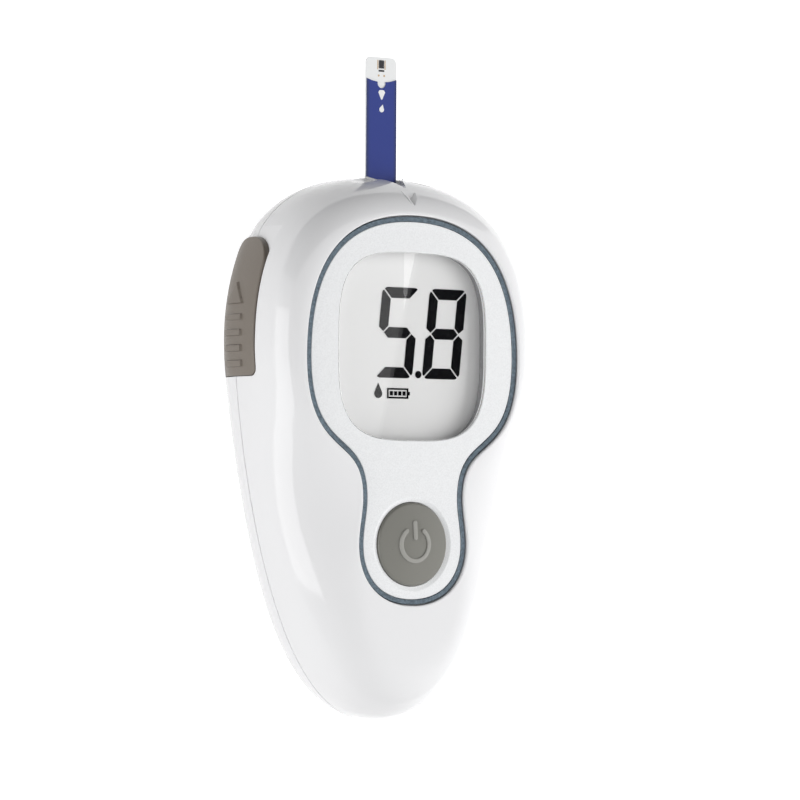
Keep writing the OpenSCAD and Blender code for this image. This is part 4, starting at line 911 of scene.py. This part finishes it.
def arc_block(r_in, r_out, z_low, z_high, from_angle, to_angle, sides=12):
    """A block bent round the slider's pivot, for its stem and flange."""
    a = np.radians(np.linspace(from_angle, to_angle, sides))
    ring = np.stack([-np.cos(a), np.sin(a)], 1)
    flat = np.vstack([ring * r_out, ring[::-1] * r_in]) + [PIVOT_X, PIVOT_Y]
    return prism(flat, z_low, z_high)


PIN_R, STEM_A = SLIDER_R - 7.4, 6.2
pin_at = [PIVOT_X - PIN_R * math.cos(math.radians(STEM_A)),
          PIVOT_Y + PIN_R * math.sin(math.radians(STEM_A))]
stem_parts = [arc_block(PIN_R - 0.9, SLIDER_R - 0.5, 9.6, 11.6, STEM_A - 2.3, STEM_A + 2.3),
              arc_block(SLIDER_R - 4, SLIDER_R - 3, 9.6, 13.0, STEM_A - 3.6, STEM_A + 3.6)]
stem_mesh = together([raw(p, f) for p, f in stem_parts] + [drum(*pin_at, 8.0, 10.1, 0.9)])
finish_piece("thumb_slider_stem", stem_mesh, slider_taupe, "slider")
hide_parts("thumb_slider")

# ------------------------------------------------------------------ test strip
# A laminated strip: a white polyester base 0.35 mm thick with rounded corners,
# a printed blue cover film with a nub and small marks, and a dark window in the tip.
TIP_Y, STRIP_IN, STRIP_W, TIP_LEN = PORT_Y + 19.95, PORT_Y - 13.05, 6.0, 4.3
FILM_Z = STRIP_Z + 0.35


def rounded(x0, x1, y0, y1, r_low, r_high, steps=10):
    """A rectangle's outline with round corners at its low and its high end."""
    shape = []
    for cx, cy, r, start in ((x1 - r_high, y1 - r_high, r_high, 0),
                             (x0 + r_high, y1 - r_high, r_high, 90),
                             (x0 + r_low, y0 + r_low, r_low, 180),
                             (x1 - r_low, y0 + r_low, r_low, 270)):
        for a in np.radians(np.linspace(start, start + 90, steps)):
            shape.append((cx + r * math.cos(a), cy + r * math.sin(a)))
    return shape


def film_outline(grow=0.0):
    """The film's outline: a shallow notch at the tip end, drawn in round a nub."""
    end = TIP_Y - TIP_LEN
    nub = [(0.82 * math.cos(a), end + 0.82 * math.sin(a))
           for a in np.radians(np.arange(375, 164, -10))]
    sag = [(x, end + 0.22 + 0.5 * ((x - 0.8) / 2.2)**1.6)
           for x in np.linspace(STRIP_W / 2 + grow, 0.85, 8)]
    return ([(STRIP_W / 2 + grow, STRIP_IN + 4)] + sag + nub
            + [(-x, y) for x, y in sag[::-1]] + [(-STRIP_W / 2 - grow, STRIP_IN + 4)])


strip_white = moulded("strip_white", (0.9, 0.91, 0.91), 0.45, mottle=0.03, wave=0.2, bump=0.01,
                      grain=3500)
base = piece("strip_base_card", *prism(rounded(-3, 3, STRIP_IN, TIP_Y, 0.05, 1.0), STRIP_Z, FILM_Z),
             strip_white, "strip")
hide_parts("strip_base")

strip_blue = moulded("strip_blue", (0.016, 0.036, 0.235), 0.36, mottle=0.1, wave=0.2,
                     bump=0.006, grain=3000)
nodes, link = strip_blue.node_tree.nodes, strip_blue.node_tree.links.new
place = next(n for n in nodes if n.type == "TEX_COORD")
split = nodes.new("ShaderNodeSeparateXYZ")
link(place.outputs["Object"], split.inputs["Vector"])
off_middle = nodes.new("ShaderNodeMath")
off_middle.operation = "ABSOLUTE"
link(split.outputs["X"], off_middle.inputs[0])
dark_edge = nodes.new("ShaderNodeMapRange")
dark_edge.inputs["From Min"].default_value = 2.35 * MM
dark_edge.inputs["From Max"].default_value = 2.75 * MM
link(off_middle.outputs["Value"], dark_edge.inputs["Value"])
blue = nodes.new("ShaderNodeMix")
blue.data_type = "RGBA"
blue.inputs["B"].default_value = (0.018, 0.03, 0.13, 1)
skin = nodes["Principled BSDF"]
link(skin.inputs["Base Color"].links[0].from_socket, blue.inputs["A"])
link(dark_edge.outputs["Result"], blue.inputs["Factor"])
link(blue.outputs["Result"], skin.inputs["Base Color"])
film = piece("strip_cover_film", *prism(film_outline(-0.03), FILM_Z, FILM_Z + 0.12),
             strip_blue, "strip")
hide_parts("strip_film")

strip_dark = moulded("strip_dark", (0.02, 0.02, 0.025), 0.25, mottle=0.2, wave=0.1, grain=3000)
cell = piece("strip_reaction_window",
             *prism(rounded(-0.5, 0.5, TIP_Y - 1.85, TIP_Y - 0.5, 0.12, 0.12, 4),
                    FILM_Z, FILM_Z + 0.05), strip_dark, "strip")
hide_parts("strip_window")
inlet = piece("strip_inlet_line",
              *prism(rounded(-0.55, 0.55, TIP_Y - 2.4, TIP_Y - 2.1, 0.05, 0.05, 3),
                     FILM_Z, FILM_Z + 0.03), strip_dark, "strip")
strip_tan = moulded("strip_tan", (0.6, 0.42, 0.24), 0.5, mottle=0.1, wave=0.2, grain=3000)
for kind, off, y, w, h in (("lead", 0.72, 1.25, 0.16, 1.6), ("dot", 0.55, 3.05, 0.34, 0.34)):
    r = min(w, h) * 0.45
    for hand, x in (("left", -off), ("right", off)):
        lead = piece(f"strip_{kind}_{hand}",
                     *prism(rounded(x - w / 2, x + w / 2, TIP_Y - y - h / 2, TIP_Y - y + h / 2,
                                    r, r, 5), FILM_Z, FILM_Z + 0.02), strip_tan, "strip")
kite = [(0, 0.74), (0.45, 0.68), (0.68, 0.34), (0.1, -0.85), (-0.1, -0.85), (-0.68, 0.34),
        (-0.45, 0.68)]
droplet = [(0.46 * math.cos(a), 0.46 * math.sin(a)) for a in np.radians(np.arange(150, 391, 15))]
droplet.append((0.22, 0.85))
for name, shape, y in (("strip_arrow_print", kite, TIP_Y - 6.15),
                       ("strip_drop_print", droplet, TIP_Y - 8.65)):
    printed = piece(name, *prism([(x, y + v) for x, v in shape], FILM_Z + 0.118, FILM_Z + 0.13),
                    strip_white, "strip")

# --------------------------------------------------------------- battery cover
# A round bayonet cover of the same white ABS, flush in the back. It has a slot
# for a coin, a turned rim, and three lugs that lock under the back shell.
COVER_LOW, COVER_TOP, LUG_LOW = 0.15, 1.65, 1.95
COVER_R, LUG_TOP, LUG_IN = COVER_D / 2, LUG_LOW + 1, COVER_D / 2 - 1.35
cover_profile = [(0, COVER_LOW), (8.6, COVER_LOW), (8.75, COVER_LOW + 0.15),
                 (9.05, COVER_LOW + 0.15), (9.2, COVER_LOW), (COVER_R - 0.25, COVER_LOW),
                 (COVER_R, COVER_LOW + 0.2), (COVER_R, COVER_TOP), (COVER_R - 0.05, COVER_TOP),
                 (COVER_R - 0.05, LUG_TOP), (LUG_IN, LUG_TOP), (LUG_IN, COVER_TOP), (0, COVER_TOP)]
lugs = [wedge(0, CELL_Y, COVER_R - 1.3, COVER_R + 1, LUG_LOW, LUG_TOP, a, 26) for a in LUG_ANGLES]
plug = carve(raw(*lathe(cover_profile, CELL_Y, 160)), together(lugs), "UNION")
coin = np.array(rounded(-7.5, 7.5, -0.9, 0.9, 0.88, 0.88, 12)) + [0, CELL_Y]
plug = carve(plug, stack([at_height(coin, -0.5), at_height(coin, COVER_LOW + 0.8)]))
cover = finish_piece("battery_cover_disc", plug, shell_white, "cover")
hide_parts("battery_cover")

# ------------------------------------------------------ screws and chips
# What repeats is set out by one node tree: it puts a copy of a shape on each of
# a row of points. The shell screws, board screws, resistors and capacitors use it.
screw_steel = brushed("screw_steel", (0.55, 0.55, 0.54), 0.3)


def placed(name, shape, spots, material, body, turn=0.0):
    """Copies of one mesh on a list of points, made by a node tree and baked."""
    seeds = bpy.data.meshes.new(name + "_spots")
    seeds.from_pydata([tuple(p) for p in np.asarray(spots, float) * MM], [], [])
    holder = bpy.data.objects.new(name + "_spots", seeds)
    pattern = bpy.data.objects.new(name + "_pattern", shape)
    for o in (holder, pattern):
        bpy.context.scene.collection.objects.link(o)
    tree = bpy.data.node_groups.new(name + "_tree", "GeometryNodeTree")
    face = tree.interface
    face.new_socket("Spots", in_out="INPUT", socket_type="NodeSocketGeometry")
    key = face.new_socket("Twist", in_out="INPUT", socket_type="NodeSocketFloat").identifier
    face.new_socket("Copies", in_out="OUTPUT", socket_type="NodeSocketGeometry")
    new, link = tree.nodes.new, tree.links.new
    start, end = new("NodeGroupInput"), new("NodeGroupOutput")
    info, on_points = new("GeometryNodeObjectInfo"), new("GeometryNodeInstanceOnPoints")
    info.inputs["Object"].default_value = pattern
    number, turned = new("GeometryNodeInputIndex"), new("ShaderNodeMath")
    spin = new("ShaderNodeCombineXYZ")
    turned.operation = "MULTIPLY"
    real, paint = new("GeometryNodeRealizeInstances"), new("GeometryNodeSetMaterial")
    paint.inputs["Material"].default_value = material
    link(start.outputs["Spots"], on_points.inputs["Points"])
    link(info.outputs["Geometry"], on_points.inputs["Instance"])
    link(number.outputs["Index"], turned.inputs[0])
    link(start.outputs["Twist"], turned.inputs[1])
    link(turned.outputs["Value"], spin.inputs["Z"])
    link(spin.outputs["Vector"], on_points.inputs["Rotation"])
    link(on_points.outputs["Instances"], real.inputs["Geometry"])
    link(real.outputs["Geometry"], paint.inputs["Geometry"])
    link(paint.outputs["Geometry"], end.inputs["Copies"])
    rule = holder.modifiers.new("copies", "NODES")
    rule.node_group = tree
    rule[key] = turn
    graph = bpy.context.evaluated_depsgraph_get()
    mesh = bpy.data.meshes.new_from_object(holder.evaluated_get(graph))
    for o in (holder, pattern):
        bpy.data.objects.remove(o)
    return finish_piece(name, mesh, material, body)


def screw_shape(d, head_d, head_t, length, pitch):
    """A pan-head screw, head down: domed head with a cross recess, threaded shank."""
    root = d / 2 * 0.8
    profile = [(0, -head_t), (head_d * 0.36, -head_t), (head_d * 0.47, -head_t * 0.72),
               (head_d / 2, -head_t * 0.35), (head_d / 2, 0), (root, 0)]
    z = 0.4
    while z < length - 0.6:
        profile += [(root, z), (d / 2, z + pitch * 0.35), (d / 2, z + pitch * 0.45),
                    (root, z + pitch * 0.8)]
        z += pitch
    profile += [(d / 2 * 0.7, length - 0.3), (d / 2 * 0.3, length), (0, length)]
    points, faces = lathe(profile, 0, 32)
    arms = []
    for w, h in ((0.3, 0.07), (0.07, 0.3)):
        cross = np.array([[-w, -h], [w, -h], [w, h], [-w, h]]) * head_d
        arms.append(stack([at_height(cross, -head_t - 0.3),
                           at_height(cross * 0.8, -head_t * 0.42)]))
    return carve(raw(points, faces), together(arms))


shell_screw = placed("shell_screw_set", screw_shape(2.0, 3.8, 1.3, 12, 0.7),
                     [(x, y, SCREW_SEAT) for x, y in screw_places],
                     screw_steel, "meter", turn=1.1)
board_screw = placed("board_screw_set", screw_shape(1.6, 3.0, 1.0, 3.6, 0.5),
                     [(x, POST_Y, 14.9) for x in (POST_X, -POST_X)],
                     screw_steel, "meter", turn=0.7)


def chip_shape(size, cap):
    """A surface-mount chip along X: ceramic body with a wrap-round end cap on each side."""
    l, w, h = size
    bodies = []
    for x0, x1, g in ((cap, l - cap, 0.03), (0, cap, 0), (l - cap, l, 0)):
        ring = np.array(rounded(g, w - g, g, h - g, 0.04, 0.04, 3))
        bodies.append(stack([np.column_stack([np.full(len(ring), x), ring]) for x in (x0, x1)]))
    return together(bodies)


resistors = placed("chip_resistor_set", chip_shape((1, 0.5, 0.4), 0.2),
                   [(-4.5 + 1.8 * i, WINDOW_Y - 8, BOARD_TOP) for i in range(6)],
                   moulded("resistor_black", (0.05, 0.05, 0.055), 0.4, mottle=0.3, grain=3000),
                   "meter")
capacitors = placed("chip_capacitor_set", chip_shape((1.6, 0.8, 0.8), 0.35),
                    [(side * 8.5 - 0.8, BUTTON_Y - 4 + 2 * i, BOARD_TOP)
                     for i in range(4) for side in (-1, 1)],
                    moulded("capacitor_tan", (0.45, 0.3, 0.17), 0.45, mottle=0.2, grain=3000),
                    "meter")
for made, node, slot_name in ((shell_screw, "shell_screws", "screw_steel"),
                              (board_screw, "board_screws", "screw_steel"),
                              (resistors, "chip_resistors", "resistor_black"),
                              (capacitors, "chip_capacitors", "capacitor_tan")):
    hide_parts(node)

# ----------------------------------------------------------- parts kept as CAD
# The parts inside keep their CAD shape and get their real finish: moulded ivory
# and black plastics, green solder mask, gold and nickel plating, rubber.
inner = {
    "lcd_frame": moulded("inner_ivory", (0.62, 0.58, 0.48), 0.5, grain=1500),
    "zebra_connectors": moulded("zebra_rubber", (0.55, 0.25, 0.27), 0.6, mottle=0.25, wave=0.8,
                                grain=2500),
    "circuit_board": moulded("board_green", (0.02, 0.13, 0.06), 0.35, mottle=0.3, wave=0.8,
                             bump=0.03, grain=700),
    "processor_chip": moulded("chip_black", (0.02, 0.02, 0.022), 0.55, mottle=0.2, grain=2500),
    "buzzer": moulded("buzzer_black", (0.025, 0.025, 0.027), 0.45, mottle=0.2, grain=1500),
    "switch_base": moulded("switch_black", (0.08, 0.08, 0.085), 0.45, mottle=0.2, grain=2000),
    "switch_plunger": moulded("switch_red", (0.42, 0.16, 0.08), 0.45, mottle=0.15, grain=2000),
    "strip_contacts": brushed("contact_gold", (0.85, 0.6, 0.25), 0.25),
    "crystal_can": brushed("bright_metal", (0.72, 0.72, 0.71), 0.22),
    "battery_cell": brushed("cell_steel", (0.6, 0.6, 0.6), 0.28)}
alike = {"memory_chip": "processor_chip", "strip_connector": "lcd_frame",
         "ejector_carriage": "lcd_frame", "ejector_guide": "lcd_frame",
         "ejector_spring": "crystal_can", "battery_plus_contact": "crystal_can",
         "battery_minus_contact": "crystal_can"}
for node, finish in list(inner.items()) + [(n, inner[like]) for n, like in alike.items()]:
    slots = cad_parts[node].data.materials
    for i in range(len(slots)):
        slots[i] = finish

# ----------------------------------------------------------------------- stage
# A white floor under the meter that fades into a plain white surround, one tall
# soft box on the left, a broad soft light from the right and top, and the camera.
def not_diffuse(tree):
    """1 for camera, glossy and transmitted rays, so that all of them see the white surround."""
    ray = tree.nodes.new("ShaderNodeLightPath")
    total = ray.outputs["Is Camera Ray"]
    for kind in ("Is Glossy Ray", "Is Transmission Ray"):
        either = tree.nodes.new("ShaderNodeMath")
        either.operation = "MAXIMUM"
        tree.links.new(total, either.inputs[0])
        tree.links.new(ray.outputs[kind], either.inputs[1])
        total = either.outputs["Value"]
    return total


floor_mesh = bpy.data.meshes.new("floor")
FLOOR_HALF, FLOOR_Z = 3, -0.0002
floor_mesh.from_pydata([(x * FLOOR_HALF, y * FLOOR_HALF, FLOOR_Z)
                        for x, y in ((-1, -1), (1, -1), (1, 1), (-1, 1))], [], [(0, 1, 2, 3)])
floor = bpy.data.objects.new("floor", floor_mesh)
bpy.context.scene.collection.objects.link(floor)
ground = bpy.data.materials.new("floor_white")
ground.use_nodes = True
nodes, link = ground.node_tree.nodes, ground.node_tree.links.new
nodes["Principled BSDF"].inputs["Base Color"].default_value = (0.6, 0.6, 0.6, 1)
nodes["Principled BSDF"].inputs["Roughness"].default_value = 0.9
shine, bright = nodes.new("ShaderNodeEmission"), nodes.new("ShaderNodeAddShader")
shine.inputs["Strength"].default_value = 0.8
link(nodes["Principled BSDF"].outputs["BSDF"], bright.inputs[0])
link(shine.outputs["Emission"], bright.inputs[1])
facing, clear = nodes.new("ShaderNodeNewGeometry"), nodes.new("ShaderNodeBsdfTransparent")
plain, under = nodes.new("ShaderNodeMixShader"), nodes.new("ShaderNodeMixShader")
link(not_diffuse(ground.node_tree), plain.inputs["Fac"])
link(nodes["Principled BSDF"].outputs["BSDF"], plain.inputs[1])
link(bright.outputs["Shader"], plain.inputs[2])
link(facing.outputs["Backfacing"], under.inputs["Fac"])
link(plain.outputs["Shader"], under.inputs[1])
link(clear.outputs["BSDF"], under.inputs[2])
link(under.outputs["Shader"], nodes["Material Output"].inputs["Surface"])
floor_mesh.materials.append(ground)

world = bpy.data.worlds.new("studio")
bpy.context.scene.world = world
world.use_nodes = True
nodes, link = world.node_tree.nodes, world.node_tree.links.new
room, white = nodes["Background"], nodes.new("ShaderNodeBackground")
room.inputs["Color"].default_value = (1, 1, 1, 1)
room.inputs["Strength"].default_value = 0.25
white.inputs["Color"].default_value = (1, 1, 1, 1)
white.inputs["Strength"].default_value = 1
pick = nodes.new("ShaderNodeMixShader")
link(not_diffuse(world.node_tree), pick.inputs["Fac"])
link(room.outputs["Background"], pick.inputs[1])
link(white.outputs["Background"], pick.inputs[2])
link(pick.outputs["Shader"], nodes["World Output"].inputs["Surface"])

# The camera looks at AIM from a distance FAR, leaned and turned as in the photo.
AIM, FAR = Vector((-2.594, 7.75, 22.0)) * MM, 0.650
THETA, PHI, ROLL = math.radians(34.765), math.radians(-1.688), math.radians(0.290)
toward = Vector((-math.sin(THETA) * math.cos(PHI), math.sin(PHI), math.cos(THETA) * math.cos(PHI)))
right_0 = Vector((math.cos(THETA), 0, math.sin(THETA)))
up_0 = toward.cross(right_0)
right_1 = math.cos(ROLL) * right_0 + math.sin(ROLL) * up_0
up_1 = toward.cross(right_1)


def lamp(name, energy, size, at, target=(0, 5, 12), spread=180):
    """A rectangular soft light in millimetres, its long side kept along Y."""
    data = bpy.data.lights.new(name, "AREA")
    data.shape = "RECTANGLE"
    data.size, data.size_y = size[0] * MM, size[1] * MM
    data.energy = energy
    data.spread = math.radians(spread)
    made = bpy.data.objects.new(name, data)
    bpy.context.scene.collection.objects.link(made)
    back_way = (Vector(at) - Vector(target)).normalized()
    side_way = Vector((0, 1, 0)).cross(back_way).normalized()
    turned = Matrix((side_way, back_way.cross(side_way), back_way)).transposed().to_4x4()
    made.matrix_world = Matrix.Translation(Vector(at) * MM) @ turned
    return made


lamp("left_box", 0.55, (280, 350), (-420, -50, 142), target=(0, -50, 80))
lamp("left_fill", 0.63, (120, 420), (-420, -40, 60)).visible_glossy = False
lamp("right_wall", 2.8, (400, 600), (420, 0, 300)).visible_glossy = False
lamp("foot_fill", 0.42, (400, 300), (0, -500, 260)).visible_glossy = False
lamp("top_box", 0.66, (500, 500), (60, -60, 700)).visible_glossy = False


def card(name, corners, diffuse):
    """A matt black card that reflections see, and diffuse light too if asked, never the camera."""
    mesh = bpy.data.meshes.new(name)
    mesh.from_pydata([tuple(Vector(c) * MM) for c in corners], [], [(0, 1, 2, 3)])
    made = bpy.data.objects.new(name, mesh)
    bpy.context.scene.collection.objects.link(made)
    black = bpy.data.materials.new(name)
    black.use_nodes = True
    black.node_tree.nodes["Principled BSDF"].inputs["Base Color"].default_value = (0, 0, 0, 1)
    black.node_tree.nodes["Principled BSDF"].inputs["Specular IOR Level"].default_value = 0
    mesh.materials.append(black)
    made.visible_camera = made.visible_shadow = False
    made.visible_diffuse = diffuse


# One card takes the glare off the lens right of a line, one darkens the port end.
source = AIM / MM + toward * FAR / MM
mirror = [p + (p - source) * Vector((1, 1, -1)) * 0.5 for p in
          (Vector((x, y, PANEL_TOP)) for x, y in ((2.0, 36), (-8.1, -6), (26, -6), (26, 36)))]
card("lens_flag", mirror, False)
card("port_end_card", [(-500, 300, 0), (500, 300, 0), (500, 300, 420), (-500, 300, 420)], True)

camera = bpy.data.cameras.new("photo_camera")
camera.lens, camera.sensor_width = 180.2, 36
camera.clip_start, camera.clip_end = 0.01, 10
viewer = bpy.data.objects.new("photo_camera", camera)
bpy.context.scene.collection.objects.link(viewer)
turned = Matrix((right_1, up_1, toward)).transposed().to_4x4()
viewer.matrix_world = Matrix.Translation(AIM + toward * FAR) @ turned
bpy.context.scene.camera = viewer
bpy.context.scene.view_settings.view_transform = "Standard"
